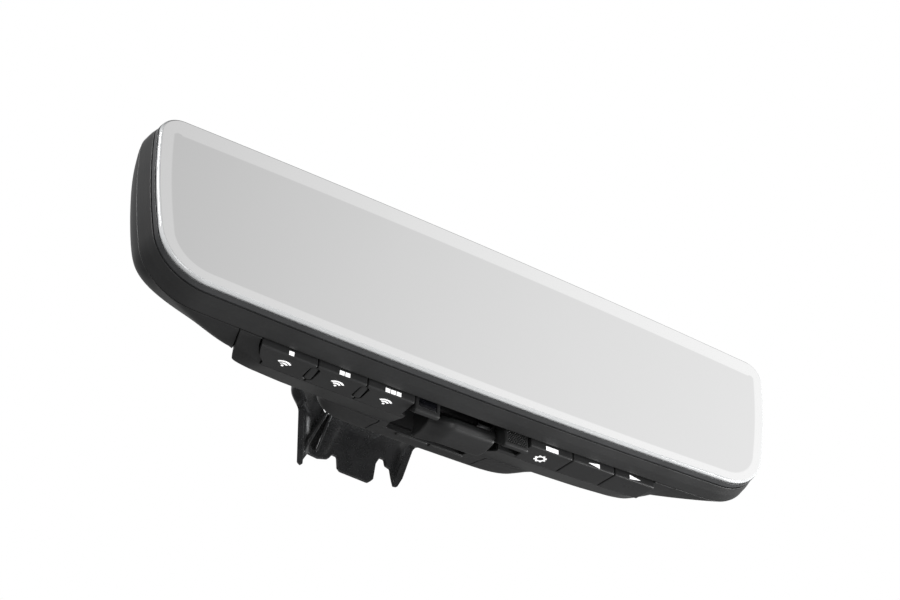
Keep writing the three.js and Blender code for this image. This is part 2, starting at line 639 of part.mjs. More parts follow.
function addBallJoint() {
  place(head, 'ball_liner', sphericalRing(...SEAT.liner, SEAT.mouth, 140, 5), FINISH.nylon);
  place(head, 'retaining_ring', sphericalRing(...SEAT.ring, SEAT.mouth + 3, 92, 4),
    FINISH.steel);
  const inner = sphereArc(SEAT.cup, SEAT.mouth + 6, 150, 6);
  const rim = inner[0];
  const foot = inner[inner.length - 1];
  const cup = turned([
    ...inner, [foot[0], -13.4], [15, -13.4], [15, rim[1] - 1], [13.6, rim[1]], rim,
  ], BALL_CENTRE);
  const flangeY = BALL.y - 11;
  let flange = plate(roundedRect(25, 18, 4, [0, BALL.z]), flangeY, flangeY + 2);
  flange = flange.subtract(rod('y', 12.5, flangeY - 1, flangeY + 3, [0, BALL.z], 24));
  for (const at of SOCKET_SCREWS) {
    flange = flange.subtract(rod('y', 1.6, flangeY - 1, flangeY + 3, at));
  }
  place(head, 'socket_cup', cup.add(flange), FINISH.steel);
  SOCKET_SCREWS.forEach((at, i) => {
    const screw = rod('y', 2.8, flangeY - 1.8, flangeY - GAP, at)
      .add(rod('y', 1.1, flangeY - 1, 38, at));
    place(head, `socket_screw_${i + 1}`, screw, FINISH.steel);
  });
  const neckY = Math.sqrt(BALL.radius ** 2 - BALL.neck ** 2);
  const neckAngle = THREE.MathUtils.radToDeg(Math.asin(BALL.neck / BALL.radius));
  const ball = sphereArc(BALL.radius, 180, neckAngle, 9);
  ball[0][0] = 0;
  const stud = turned([
    ...ball, [BALL.neck, neckY + 0.5], [BALL.neck, BALL.neckLength], [2.6, BALL.neckLength],
    [2.6, 21], [0, 21],
  ], BALL_CENTRE);
  place(head, 'ball_stud', stud, FINISH.steel);
}

// Arm from the ball stud up to the bracket.
const FLANGE = { y: -20.3, thick: 3.6, z: -6 };

/** A place given in the mount's leaning axes, as a place in the head's axes. */
function fromMount(x, y, z) {
  return new THREE.Vector3(x, y, z)
    .applyAxisAngle(new THREE.Vector3(1, 0, 0), rad(PAD.tilt))
    .add(new THREE.Vector3(0, PAD.y, PAD.z));
}

/** The opposite change, for a solid. */
const toHead = (manifold) => manifold.rotate([PAD.tilt, 0, 0]).translate([0, PAD.y, PAD.z]);

function addArm() {
  const startY = BALL.y + BALL.neckLength + GAP;
  const end = fromMount(0, FLANGE.y + 1, FLANGE.z);
  const lead = fromMount(0, FLANGE.y - 10, FLANGE.z);
  const path = new THREE.CubicBezierCurve3(
    new THREE.Vector3(0, startY, BALL.z), new THREE.Vector3(0, startY + 13, BALL.z), lead, end);
  const section = new THREE.Shape(points(roundedRect(6.2, 6.2, 6.1, [0, 0], 3)));
  const tube = new THREE.ExtrudeGeometry(section, { steps: 9, extrudePath: path });
  const bore = rod('y', 2.9, startY - 1, BALL.y + 21.4, [0, BALL.z]);
  let flange = plate(roundedRect(14.5, 9, 3, [0, FLANGE.z]), FLANGE.y, FLANGE.y + FLANGE.thick);
  for (const side of [-1, 1]) {
    flange = flange.subtract(rod('y', 1.8, FLANGE.y - 1, FLANGE.y + 5, [side * 10.4, FLANGE.z]));
  }
  place(head, 'mount_arm', largest(solid(tube).subtract(bore).add(toHead(flange))), FINISH.gloss);
}

// Bracket, windshield button, set screw and the two screws of the arm, in the leaning axes.
const BRACKET = { halfX: 15, halfZ: 19, frontY: -16.4, rearY: -1.2 };
const BUTTON = { halfX: 10.5, halfZ: 14, frontY: -4.2 };
const EAR_X = 18.4;

function addBracket() {
  const { halfX, halfZ, frontY, rearY } = BRACKET;
  let bracket = plate(roundedRect(halfX, halfZ, 3), frontY, rearY);
  bracket = bracket.add(plate(roundedRect(21.6, 4.4, 3), -9, -5));
  bracket = bracket.subtract(box([-BUTTON.halfX - GAP, BUTTON.frontY - GAP, -BUTTON.halfZ - GAP],
    [BUTTON.halfX + GAP, 1, halfZ + 1]));
  bracket = bracket.subtract(rod('y', 2.3, frontY - 1, 0, [0, 9]));
  for (const side of [-1, 1]) {
    bracket = bracket.subtract(rod('y', 1.8, frontY - 1, -8, [side * 10.4, FLANGE.z]));
    bracket = bracket.subtract(rod('y', 1.3, -10, -4, [side * EAR_X, 0]));
    const screw = rod('y', 3, FLANGE.y - 2.6, FLANGE.y - GAP, [side * 10.4, FLANGE.z])
      .add(rod('y', 1.5, FLANGE.y - 1, -8.4, [side * 10.4, FLANGE.z]));
    place(mount, `arm_screw_${side < 0 ? 1 : 2}`, screw, FINISH.steel);
  }
  place(mount, 'windshield_bracket', bracket, FINISH.aluminium);
  place(mount, 'windshield_button', plate(roundedRect(BUTTON.halfX, BUTTON.halfZ, 4),
    BUTTON.frontY, 0), FINISH.steel);
  place(mount, 'set_screw', rod('y', 1.95, frontY - 0.6, BUTTON.frontY - GAP, [0, 9]),
    FINISH.steel);
}

// Cable shroud: a channel open to the front that hangs below and round the bracket.
const SHROUD = { wall: 1.9, rearY: -1.9, frontY: -14.2, bottomZ: -44, topZ: 25 };

/** Half-width of the shroud at one height: it widens upwards and steps out near the bracket. */
function shroudHalf(z) {
  const taper = 23.6 + 0.187 * (z - SHROUD.bottomZ);
  const flare = THREE.MathUtils.clamp((z + 24) / 7, 0, 1) * 3.4;
  return Math.min(taper + flare, 34.5);
}

function shroudForm(inset) {
  const heights = [SHROUD.bottomZ, -24, -21, -17, -8, SHROUD.topZ];
  const rings = heights.map((z, i) => {
    const end = i === 0 ? -1 : Number(i === heights.length - 1);
    const half = shroudHalf(z) - inset;
    const front = SHROUD.frontY - (inset > 0 ? 5 : 0);
    const middle = (front + SHROUD.rearY - inset) / 2;
    const depth = (SHROUD.rearY - inset - front) / 2;
    return roundedRect(half, depth, 4 - inset * 0.8, [0, middle], 3)
      .map(([x, y]) => [x, y, z + (inset > 0 ? end : 0)]);
  });
  return solid(skin(rings, false));
}

function addShroud() {
  let shroud = shroudForm(0).subtract(shroudForm(SHROUD.wall));
  shroud = shroud.subtract(plate(roundedRect(BRACKET.halfX + 0.6, BRACKET.halfZ + 1, 2),
    -10, 2));
  shroud = shroud.subtract(box([-BRACKET.halfX - 0.6, -10, 0], [BRACKET.halfX + 0.6, 2, 40]));
  const notches = [[-19.5, -14.5, 4.5], [-11.5, -7.4, 6.5], [7.2, 15.5, 8.5]];
  for (const [x0, x1, up] of notches) {
    shroud = shroud.subtract(box([x0, -4.2, -60], [x1, 0, SHROUD.bottomZ + up]));
  }
  for (const side of [-1, 1]) {
    const inner = Math.min(side * 19.5, side * 34);
    shroud = shroud.subtract(box([inner, -20, -60], [inner + 14.5, -7, SHROUD.bottomZ + 9]));
    shroud = shroud.subtract(rod('y', 1.6, -6, 2, [side * EAR_X, 0]));
    const screw = rod('y', 2.5, SHROUD.rearY + 0.25, SHROUD.rearY + 1.25, [side * EAR_X, 0])
      .add(rod('y', 1.05, -8.6, SHROUD.rearY + 1, [side * EAR_X, 0]));
    place(mount, `shroud_screw_${side < 0 ? 1 : 2}`, screw, FINISH.steel);
  }
  place(mount, 'cable_shroud', largest(shroud), FINISH.gloss);
}

// Connector socket and the forward light sensor's lens in the rear housing.
function addRearFittings() {
  const { x, z, halfX, halfZ } = CONNECTOR;
  const outer = plate(roundedRect(halfX, halfZ, 1.2, [x, z], 2), 26, 44.5);
  const inner = plate(roundedRect(halfX - 1.2, halfZ - 1.2, 0.6, [x, z], 2), 33, 46);
  place(head, 'harness_connector', outer.subtract(inner), FINISH.black);
  place(head, 'forward_light_lens', turned([
    [0, 36], [LENS.radius, 36], [LENS.radius, 41.6], [LENS.radius - 1.6, 42.4], [0, 42.8],
  ], [LENS.x, 0, LENS.z], 20), FINISH.lens);
}

addGlass();
addFrames();
addDisplay();
addElectronics();
addRearHousing();
addLowerTrim();
addKeys();
addSwitches();
addSensorAndMicrophone();
addLever();
addBallJoint();
addArm();
addBracket();
addShroud();
addRearFittings();

export default mirror;
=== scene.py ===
"""Visible surfaces, finishes, light and camera of the interior rearview mirror.

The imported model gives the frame. Shapes are worked out in millimetres, in the head's own axes
(X to the driver's right, Y into the mirror, Z up, zero at the middle of the glass) or in the
mount's leaning axes, and are turned into the frame's metres when a mesh is made.
"""

import json
import logging
import math
from dataclasses import dataclass
from enum import Enum
from typing import Callable, Sequence

import bmesh
import bpy
import numpy as np
from mathutils import Matrix, Vector


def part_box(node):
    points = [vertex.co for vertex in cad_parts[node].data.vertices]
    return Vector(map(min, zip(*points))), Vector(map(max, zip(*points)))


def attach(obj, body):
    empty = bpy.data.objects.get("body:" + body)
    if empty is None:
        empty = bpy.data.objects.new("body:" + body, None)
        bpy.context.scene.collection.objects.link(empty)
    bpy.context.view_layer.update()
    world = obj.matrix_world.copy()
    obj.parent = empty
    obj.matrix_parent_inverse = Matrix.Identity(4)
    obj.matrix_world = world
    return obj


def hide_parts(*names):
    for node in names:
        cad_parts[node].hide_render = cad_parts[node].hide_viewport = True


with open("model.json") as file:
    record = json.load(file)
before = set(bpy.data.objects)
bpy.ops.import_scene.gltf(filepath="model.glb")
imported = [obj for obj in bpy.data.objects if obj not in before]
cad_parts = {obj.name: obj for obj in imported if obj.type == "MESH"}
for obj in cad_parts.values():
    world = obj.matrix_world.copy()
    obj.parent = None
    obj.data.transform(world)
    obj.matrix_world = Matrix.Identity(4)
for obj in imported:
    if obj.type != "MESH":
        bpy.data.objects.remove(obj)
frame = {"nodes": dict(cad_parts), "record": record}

LOG = logging.getLogger("mirror")
Array = np.ndarray
MM = 0.001
NOISE_LOW, NOISE_HIGH = 0.3, 0.7        # values between which fractal noise mostly stays
CUT_LOW, CUT_HIGH = -60.0, -20.0        # heights that a cut through the underside reaches
INK_DEPTH = 0.06                        # how deep printed ink sinks into its surface
ARM_SCREW_X, ARM_SCREW_Z = 10.4, -6.0   # the two screws between the arm and the bracket
AXIS = 0.001                            # smallest radius, for points on a turned body's axis


# ---- axes ---------------------------------------------------------------------------------------
@dataclass(frozen=True)
class Axes:
    """Where a group of pieces has its zero in the model's frame, and how it leans about X."""

    origin: tuple[float, float, float]
    lean: float = 0.0

    def to_frame(self, points: Array) -> Array:
        """Turn places in millimetres in these axes into metres in the model's frame.

        Args:
            points: places, one per row.

        Returns:
            The same places turned about X by the lean and moved to the origin.
        """
        x, y, z = points[..., 0], points[..., 1], points[..., 2]
        cos, sin = math.cos(self.lean), math.sin(self.lean)
        turned = np.stack([x, cos * y - sin * z, sin * y + cos * z], axis=-1)
        return turned * MM + np.array(self.origin)

    def box(self, node: str) -> tuple[Array, Array]:
        """Lowest and highest corners of a CAD node in these axes, in millimetres."""
        corners = np.array([vertex.co for vertex in frame["nodes"][node].data.vertices])
        x, y, z = (corners - np.array(self.origin)).T / MM
        cos, sin = math.cos(self.lean), math.sin(self.lean)
        local = np.stack([x, cos * y + sin * z, -sin * y + cos * z], axis=-1)
        return local.min(axis=0), local.max(axis=0)

    def middle(self, node: str) -> tuple[Array, Array]:
        """Centre and half-sizes of a CAD node in these axes, in millimetres."""
        low, high = self.box(node)
        return (low + high) / 2, (high - low) / 2


def head_axes() -> Axes:
    """Axes of the head: the glass stands 1.6 mm in front of zero and is centred on it."""
    low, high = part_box("front_glass")
    return Axes((0.0, low.y + 1.6 * MM, (low.z + high.z) / 2))


def mount_axes() -> Axes:
    """Axes of the mount: the record's windshield pad, and the lean of its outward direction."""
    pad = next(m for m in frame["record"]["mounts"] if m["name"] == "windshield_pad")
    _, deep, high = pad["axis"]
    return Axes((0.0, 0.0, 0.0), math.atan2(high, deep))


HEAD = head_axes()
MOUNT = mount_axes()


# ---- outlines -----------------------------------------------------------------------------------
def unit(vectors: Array) -> Array:
    """Vectors of length one, row by row."""
    return vectors / np.maximum(np.linalg.norm(vectors, axis=-1, keepdims=True), 1e-9)


def soften(corners: Sequence[tuple[float, float, float]], steps: int = 5) -> Array:
    """Closed outline whose corners are rounded.

    Each corner becomes an arc that touches both of its sides, at the distance of its radius over
    the tangent of half the corner's angle, with one more point on each side to hold the flats.

    Args:
        corners: two coordinates and a radius for each corner.
        steps: pieces in each arc.

    Returns:
        Points in order, one per row.
    """
    table = np.array(corners, float)
    place, radius = table[:, :2], np.maximum(table[:, 2], 0.02)
    before, after = np.roll(place, 1, axis=0) - place, np.roll(place, -1, axis=0) - place
    room = 0.42 * np.minimum(np.linalg.norm(before, axis=1), np.linalg.norm(after, axis=1))
    u, v = unit(before), unit(after)
    half = np.arccos(np.clip((u * v).sum(axis=1), -0.99999, 0.99999)) / 2
    reach = np.minimum(radius / np.tan(half), room)
    bisector = unit(u + v)
    centre = place + bisector * (reach / np.cos(half))[:, None]
    start, end = place + u * reach[:, None] - centre, place + v * reach[:, None] - centre
    turn = np.maximum(math.pi - 2 * half, 1e-4)[:, None, None]
    part = np.linspace(0, 1, steps + 1)[None, :, None]
    sweep = (np.sin((1 - part) * turn) * start[:, None] + np.sin(part * turn) * end[:, None])
    arcs = centre[:, None] + sweep / np.sin(turn)
    hold = 1.18 * reach[:, None]
    rows = np.concatenate([(place + u * hold)[:, None], arcs, (place + v * hold)[:, None]], axis=1)
    return rows.reshape(-1, 2)


def oblong(half_a: float, half_b: float, radius: float,
           centre: tuple[float, float] = (0.0, 0.0), steps: int = 8) -> Array:
    """Rounded rectangle about a centre, as a closed outline."""
    a, b = centre
    return soften([(a + half_a, b - half_b, radius), (a + half_a, b + half_b, radius),
                   (a - half_a, b + half_b, radius), (a - half_a, b - half_b, radius)], steps)


def disc(radius: float, centre: tuple[float, float] = (0.0, 0.0), steps: int = 8) -> Array:
    """Circle about a centre: an oblong whose corners are rounded almost to its middle."""
    return oblong(radius, radius, radius - 0.02, centre, steps)


def outward(outline: Array) -> Array:
    """Unit outward direction at each point of a closed outline: across its neighbours' chord."""
    following = np.roll(outline, -1, axis=0)
    tangent = unit(following - np.roll(outline, 1, axis=0))
    normal = np.stack([tangent[:, 1], -tangent[:, 0]], axis=1)
    return normal * math.copysign(1.0, np.cross(outline, following).sum())


def stacked(x: Array, y: Array, below: Array, above: Array | float) -> Array:
    """Rings across a slab: each runs along the lower side and back along the upper side.

    Args:
        x: column of X.
        y: row of Y.
        below: height of the lower side over the grid.
        above: height of the upper side.

    Returns:
        Array of ring, point and coordinate.
    """
    lower = np.stack([x + 0 * y, y + 0 * x, below], axis=-1)
    upper = np.stack([x + 0 * y, y + 0 * x, above + 0 * (x + y)], axis=-1)
    return np.concatenate([lower, upper[:, ::-1]], axis=1)


@dataclass(frozen=True)
class GlassOutline:
    """Outline of the glass: two long flat arcs and two side arcs, joined by corner arcs."""

    half_width: float = 125.0
    height: float = 63.2
    top_radius: float = 3630.0
    bottom_radius: float = 2750.0
    side_radius: float = 210.0
    side_centre: float = 39.8
    top_corner: float = 7.1
    bottom_corner: float = 19.5

    def corner(self, edge_radius: float, radius: float, up: bool) -> tuple[Array, Array, Array]:
        """Centres of the long arc, the side arc and the corner arc that touches both inside.

        The corner's centre lies where circles of the two arcs' radii less the corner's cross.
        """
        half = self.height / 2
        edge = np.array([0.0, half - edge_radius if up else edge_radius - half])
        side = np.array([self.half_width - self.side_radius, self.side_centre])
        reach_edge, reach_side = edge_radius - radius, self.side_radius - radius
        gap = side - edge
        distance = float(np.hypot(*gap))
        along = (reach_edge ** 2 - reach_side ** 2 + distance ** 2) / (2 * distance)
        across = math.sqrt(reach_edge ** 2 - along ** 2)
        foot = edge + gap / distance * along
        normal = np.array([-gap[1], gap[0]]) / distance
        both = [foot + normal * across, foot - normal * across]
        chosen = max((p for p in both if p[0] > 0), key=lambda p: p[1] if up else -p[1])
        return edge, side, chosen

    def points(self, offset: float = 0.0, density: float = 1.0) -> tuple[Array, Array]:
        """Points of the outline moved outwards, and their outward directions.

        Every arc keeps its centre and grows by the offset, so the directions don't change.

        Args:
            offset: millimetres outwards.
            density: how many points, against the usual count.

        Returns:
            Points and unit outward directions in X and Z, clockwise from the top's middle.
        """
        edge_t, side, top = self.corner(self.top_radius, self.top_corner, True)
        edge_b, _, bottom = self.corner(self.bottom_radius, self.bottom_corner, False)

        def bearing(tip: Array, tail: Array) -> float:
            return math.atan2(tip[1] - tail[1], tip[0] - tail[0])

        a_top, a_side = bearing(top, edge_t), bearing(top, side)
        b_side, b_bottom = bearing(bottom, side), bearing(bottom, edge_b)
        runs = [
            (edge_t, self.top_radius, math.pi / 2, a_top, 56),
            (top, self.top_corner, a_top, a_side, 12),
            (side, self.side_radius, a_side, b_side, 18),
            (bottom, self.bottom_corner, b_side, b_bottom, 18),
            (edge_b, self.bottom_radius, b_bottom, -math.pi / 2, 56),
        ]
        place, out = [], []
        for centre, radius, start, end, count in runs:
            angle = np.linspace(start, end, int(count * density), endpoint=False)
            direction = np.stack([np.cos(angle), np.sin(angle)], axis=1)
            place.append(centre + direction * (radius + offset))
            out.append(direction)
        right, facing = np.concatenate(place), np.concatenate(out)
        foot = np.array([[0.0, -self.height / 2 - offset]])
        left, left_out = right[:0:-1] * (-1, 1), facing[:0:-1] * (-1, 1)
        return (np.concatenate([right, foot, left]),
                np.concatenate([facing, [[0.0, -1.0]], left_out]))


OUTLINE = GlassOutline()


# ---- meshes -------------------------------------------------------------------------------------
def lattice(rows: int, columns: int, wrap_rows: bool) -> Array:
    """Quads of a grid whose columns close on themselves, as rows of four vertex numbers."""
    first = np.arange(rows if wrap_rows else rows - 1)
    row, column = np.meshgrid(first, np.arange(columns), indexing="ij")
    below, beside = (row + 1) % rows, (column + 1) % columns
    quads = np.stack([row * columns + column, row * columns + beside,
                      below * columns + beside, below * columns + column], axis=-1)
    return quads.reshape(-1, 4)


def make_mesh(name: str, points: Array, faces: list, axes: Axes) -> bpy.types.Object:
    """Make an object at the origin from places in millimetres, its faces turned outwards.

    Args:
        name: the piece's name.
        points: places in the given axes, one per row.
        faces: lists of vertex numbers.
        axes: the axes that the places are given in.

    Returns:
        The new object, linked to the scene.
    """
    mesh = bpy.data.meshes.new(name)
    mesh.from_pydata(axes.to_frame(points).tolist(), [], faces)
    shape = bmesh.new()
    shape.from_mesh(mesh)
    bmesh.ops.remove_doubles(shape, verts=shape.verts, dist=2e-7)
    bmesh.ops.recalc_face_normals(shape, faces=shape.faces)
    shape.to_mesh(mesh)
    shape.free()
    piece = bpy.data.objects.new(name, mesh)
    bpy.context.scene.collection.objects.link(piece)
    return piece


def loft(name: str, rings: Array, axes: Axes, closed: bool = False) -> bpy.types.Object:
    """Closed body through rings of equal length: capped at both ends, or closed on itself.

    Args:
        name: the piece's name.
        rings: array of ring, point and coordinate.
        axes: the axes that the rings are given in.
        closed: whether the last ring joins the first.

    Returns:
        The new object.
    """
    count, columns = rings.shape[:2]
    faces = lattice(count, columns, closed).tolist()
    if not closed:
        last = (count - 1) * columns
        faces += [list(range(columns))[::-1], list(range(last, last + columns))]
    return make_mesh(name, rings.reshape(-1, 3), faces, axes)


def surround(name: str, section: Array, density: float = 1.0) -> bpy.types.Object:
    """Frame round the glass outline: a closed section of offset and depth is carried round it.

    Args:
        name: the piece's name.
        section: offsets from the outline and depths, one pair per row.
        density: how many points round the outline, against the usual count.

    Returns:
        The new object.
    """
    base, out = OUTLINE.points(0.0, density)
    offset, depth = section[:, 0][:, None, None], section[:, 1]
    plan = base[None] + out[None] * offset
    rings = np.stack([plan[..., 0], np.broadcast_to(depth[:, None], plan.shape[:2]),
                      plan[..., 1]], axis=-1)
    return loft(name, rings, HEAD, closed=True)


def carried(name: str, section: Array, span: tuple[float, float], axes: Axes,
            edge: float = 0.4, bend: Callable[[Array], Array] | None = None,
            middle: int = 6, sway: Callable[[Array], Array] | None = None) -> bpy.types.Object:
    """Bar along X with a given section, whose ends are rounded over.

    Near each end the section is drawn in along its own outward directions by radius less the
    square root of radius squared less depth squared, so the end has a quarter round.

    Args:
        name: the piece's name.
        section: closed outline in Y and Z.
        span: first and last X.
        axes: the axes that the section is given in.
        edge: radius of the rounded ends.
        bend: height added at each X.
        middle: stretches between the two rounded ends.
        sway: depth added at each X.

    Returns:
        The new object.
    """
    normal = outward(section)
    angle = np.linspace(0, math.pi / 2, 6)
    step, draw = edge * (1 - np.cos(angle)), edge * (1 - np.sin(angle))
    between = np.linspace(span[0] + edge, span[1] - edge, middle + 1)[1:-1]
    x = np.concatenate([span[0] + step, between, (span[1] - step)[::-1]])
    inset = np.concatenate([draw, np.zeros(len(between)), draw[::-1]])
    plane = section[None] - normal[None] * inset[:, None, None]
    lift = bend(x) if bend else np.zeros(len(x))
    back = sway(x) if sway else np.zeros(len(x))
    rings = np.stack([np.broadcast_to(x[:, None], plane.shape[:2]), plane[..., 0] + back[:, None],
                      plane[..., 1] + lift[:, None]], axis=-1)
    return loft(name, rings, axes)


class Along(Enum):
    """Direction in which an outline is carried to make a straight body."""

    DEPTH = "outline in X and Z, carried along Y"
    HEIGHT = "outline in X and Y, carried along Z"


def prism(name: str, outline: Array, low: float, high: float, axes: Axes,
          along: Along = Along.DEPTH, edge: float = 0.0) -> bpy.types.Object:
    """Straight body over an outline, with rounded rims where an edge radius is given.

    Args:
        name: the piece's name.
        outline: closed outline of two coordinates.
        low: where the body starts.
        high: where it ends.
        axes: the axes that it is given in.
        along: the direction in which the outline is carried.
        edge: radius of the rims at both ends.

    Returns:
        The new object.
    """
    normal = outward(outline)
    angle = np.linspace(0, math.pi / 2, 5 if edge else 1)
    step, draw = edge * (1 - np.cos(angle)), edge * (1 - np.sin(angle)) * bool(edge)
    level = np.concatenate([low + step, (high - step)[::-1]])
    inset = np.concatenate([draw, draw[::-1]])
    plan = outline[None] - normal[None] * inset[:, None, None]
    height = np.broadcast_to(level[:, None], plan.shape[:2])
    order = (plan[..., 0], height, plan[..., 1]) if along is Along.DEPTH else (
        plan[..., 0], plan[..., 1], height)
    return loft(name, np.stack(order, axis=-1), axes)


def turned(name: str, profile: Array, centre: tuple[float, float, float], axes: Axes,
           sides: int = 64) -> bpy.types.Object:
    """Turned body about a line along Y: a closed profile of radius and depth goes round it.

    Args:
        name: the piece's name.
        profile: radius and distance along Y, one pair per row; the ends may lie on the axis.
        centre: a place on the axis.
        axes: the axes that it is given in.
        sides: points round the axis.

    Returns:
        The new object.
    """
    angle = np.linspace(0, 2 * math.pi, sides, endpoint=False)[:, None]
    radius, depth = profile[:, 0][None], profile[:, 1][None]
    rings = np.stack([centre[0] + np.cos(angle) * radius, centre[1] + depth + 0 * angle,
                      centre[2] + np.sin(angle) * radius], axis=-1)
    return loft(name, rings, axes, closed=True)


class Joining(Enum):
    """What a boolean step does with the second body."""

    CUT = "DIFFERENCE"
    ADD = "UNION"
    KEEP = "INTERSECT"


def combine(piece: bpy.types.Object, others: Sequence[bpy.types.Object],
            how: Joining = Joining.CUT) -> bpy.types.Object:
    """Cut, join or intersect a piece with other bodies, which are used up.

    Args:
        piece: the body that stays.
        others: the bodies that act on it, one after the other.
        how: what is done.

    Returns:
        The piece, with its new mesh.
    """
    for other in others:
        step = piece.modifiers.new("step", "BOOLEAN")
        step.operation = how.value
        step.object = other
        step.solver = "EXACT"
        other.hide_render = True
    bpy.context.view_layer.update()
    result = piece.evaluated_get(bpy.context.evaluated_depsgraph_get())
    mesh = bpy.data.meshes.new_from_object(result)
    piece.modifiers.clear()
    piece.data = mesh
    for other in others:
        bpy.data.objects.remove(other)
    return piece


def merge(name: str, pieces: Sequence[bpy.types.Object]) -> bpy.types.Object:
    """One object from several bodies that stay apart inside it."""
    shape = bmesh.new()
    for piece in pieces:
        shape.from_mesh(piece.data)
        bpy.data.objects.remove(piece)
    mesh = bpy.data.meshes.new(name)
    shape.to_mesh(mesh)
    shape.free()
    whole = bpy.data.objects.new(name, mesh)
    bpy.context.scene.collection.objects.link(whole)
    return whole


# ---- finishes -----------------------------------------------------------------------------------
class NodeTree:
    """Short ways to add and join shader nodes in one material."""

    def __init__(self, name: str) -> None:
        """Start an empty material with its output and its surface shader."""
        self.material = bpy.data.materials.new(name)
        self.material.use_nodes = True
        self.tree = self.material.node_tree
        self.tree.nodes.clear()
        self.output = self.add("ShaderNodeOutputMaterial")
        self.shader = self.add("ShaderNodeBsdfPrincipled")
        self.join(self.shader, "BSDF", self.output, "Surface")
        self.place = self.add("ShaderNodeTexCoord")

    def add(self, kind: str, **settings: object) -> bpy.types.Node:
        """Add a node; settings are its properties or the values of its sockets."""
        node = self.tree.nodes.new(kind)
        for key, value in settings.items():
            if hasattr(node, key):
                setattr(node, key, value)
            else:
                node.inputs[key.replace("_", " ").title()].default_value = value
        return node

    def join(self, source: bpy.types.Node, out: str | int, target: bpy.types.Node,
             into: str | int) -> None:
        """Link one node's output to another's input."""
        self.tree.links.new(source.outputs[out], target.inputs[into])

    def surface(self, **values: object) -> None:
        """Set sockets of the surface shader; underscores stand for spaces."""
        names = {"ior": "IOR"}
        for key, value in values.items():
            socket = names.get(key, key.replace("_", " ").title())
            if key == "specular":
                socket = "Specular IOR Level"
            self.shader.inputs[socket].default_value = value

    def noise(self, scale: float, detail: float = 3.0, rough: float = 0.55) -> bpy.types.Node:
        """Fractal noise on the piece's own coordinates; scale is in cells per metre."""
        node = self.add("ShaderNodeTexNoise")
        node.inputs["Scale"].default_value = scale
        node.inputs["Detail"].default_value = detail
        node.inputs["Roughness"].default_value = rough
        self.join(self.place, "Object", node, "Vector")
        return node

    def spread(self, source: bpy.types.Node, out: str, low: float, high: float) -> bpy.types.Node:
        """Map a noise value's usual range onto another range."""
        node = self.add("ShaderNodeMapRange")
        for socket, value in (("From Min", NOISE_LOW), ("From Max", NOISE_HIGH),
                              ("To Min", low), ("To Max", high)):
            node.inputs[socket].default_value = value
        self.join(source, out, node, "Value")
        return node

    def gloss(self, source: bpy.types.Node, out: str, low: float, high: float) -> None:
        """Let a noise value change the surface's roughness between two values."""
        node = self.spread(source, out, low, high)
        self.join(node, "Result", self.shader, "Roughness")

    def tint(self, source: bpy.types.Node, out: str, dark: tuple, light: tuple) -> bpy.types.Node:
        """Colour between two tones by a noise value's usual range."""
        node = self.add("ShaderNodeValToRGB")
        node.color_ramp.elements[0].position = NOISE_LOW
        node.color_ramp.elements[1].position = NOISE_HIGH
        node.color_ramp.elements[0].color = (*dark, 1.0)
        node.color_ramp.elements[1].color = (*light, 1.0)
        self.join(source, out, node, "Fac")
        self.join(node, "Color", self.shader, "Base Color")
        return node

    def relief(self, heights: Sequence[tuple[bpy.types.Node, str, float]],
               soft_edge: float = 0.0) -> None:
        """Bump from several height sources in turn, over edges softened by a small radius.

        Args:
            heights: source node, its output and the height of its relief in metres.
            soft_edge: radius over which sharp edges catch the light, in metres.
        """
        before = None
        if soft_edge:
            before = self.add("ShaderNodeBevel", samples=6)
            before.inputs["Radius"].default_value = soft_edge
        for source, out, height in heights:
            bump = self.add("ShaderNodeBump")
            bump.inputs["Strength"].default_value = 1.0
            bump.inputs["Distance"].default_value = height
            self.join(source, out, bump, "Height")
            if before:
                self.join(before, "Normal", bump, "Normal")
            before = bump
        if before:
            self.join(before, "Normal", self.shader, "Normal")


@dataclass(frozen=True)
class Finish:
    """What every finish has: the tone of its body and how it scatters light."""

    name: str
    tone: tuple[float, float, float]
    roughness: float

    def shade(self, tone: float) -> tuple[float, float, float]:
        """The finish's tone made lighter or darker."""
        return tuple(min(channel * tone, 1.0) for channel in self.tone)

    def build(self) -> bpy.types.Material:
        """Make the material."""
        raise NotImplementedError


@dataclass(frozen=True)
class MouldedPlastic(Finish):
    """Moulded plastic with an etched grain, a slow change of gloss and softened edges."""

    grain: float = 0.00045
    depth: float = 0.000012
    specular: float = 0.4
    soft_edge: float = 0.00035
    coat: float = 0.0

    def build(self) -> bpy.types.Material:
        """Make the material: two sizes of grain, cloudy tone and cloudy gloss."""
        nodes = NodeTree(self.name)
        nodes.surface(specular=self.specular, coat_weight=self.coat, coat_roughness=0.12)
        cells = nodes.add("ShaderNodeTexVoronoi", feature="SMOOTH_F1")
        cells.inputs["Scale"].default_value = 1 / self.grain
        nodes.join(nodes.place, "Object", cells, "Vector")
        fine = nodes.noise(2.2 / self.grain, 2.0)
        cloud = nodes.noise(55.0, 4.0)
        nodes.tint(cloud, "Fac", self.shade(0.86), self.shade(1.14))
        nodes.gloss(cloud, "Fac", self.roughness * 0.92, self.roughness * 1.08)
        nodes.relief([(cells, "Distance", self.depth), (fine, "Fac", self.depth * 0.7)],
                     self.soft_edge)
        return nodes.material


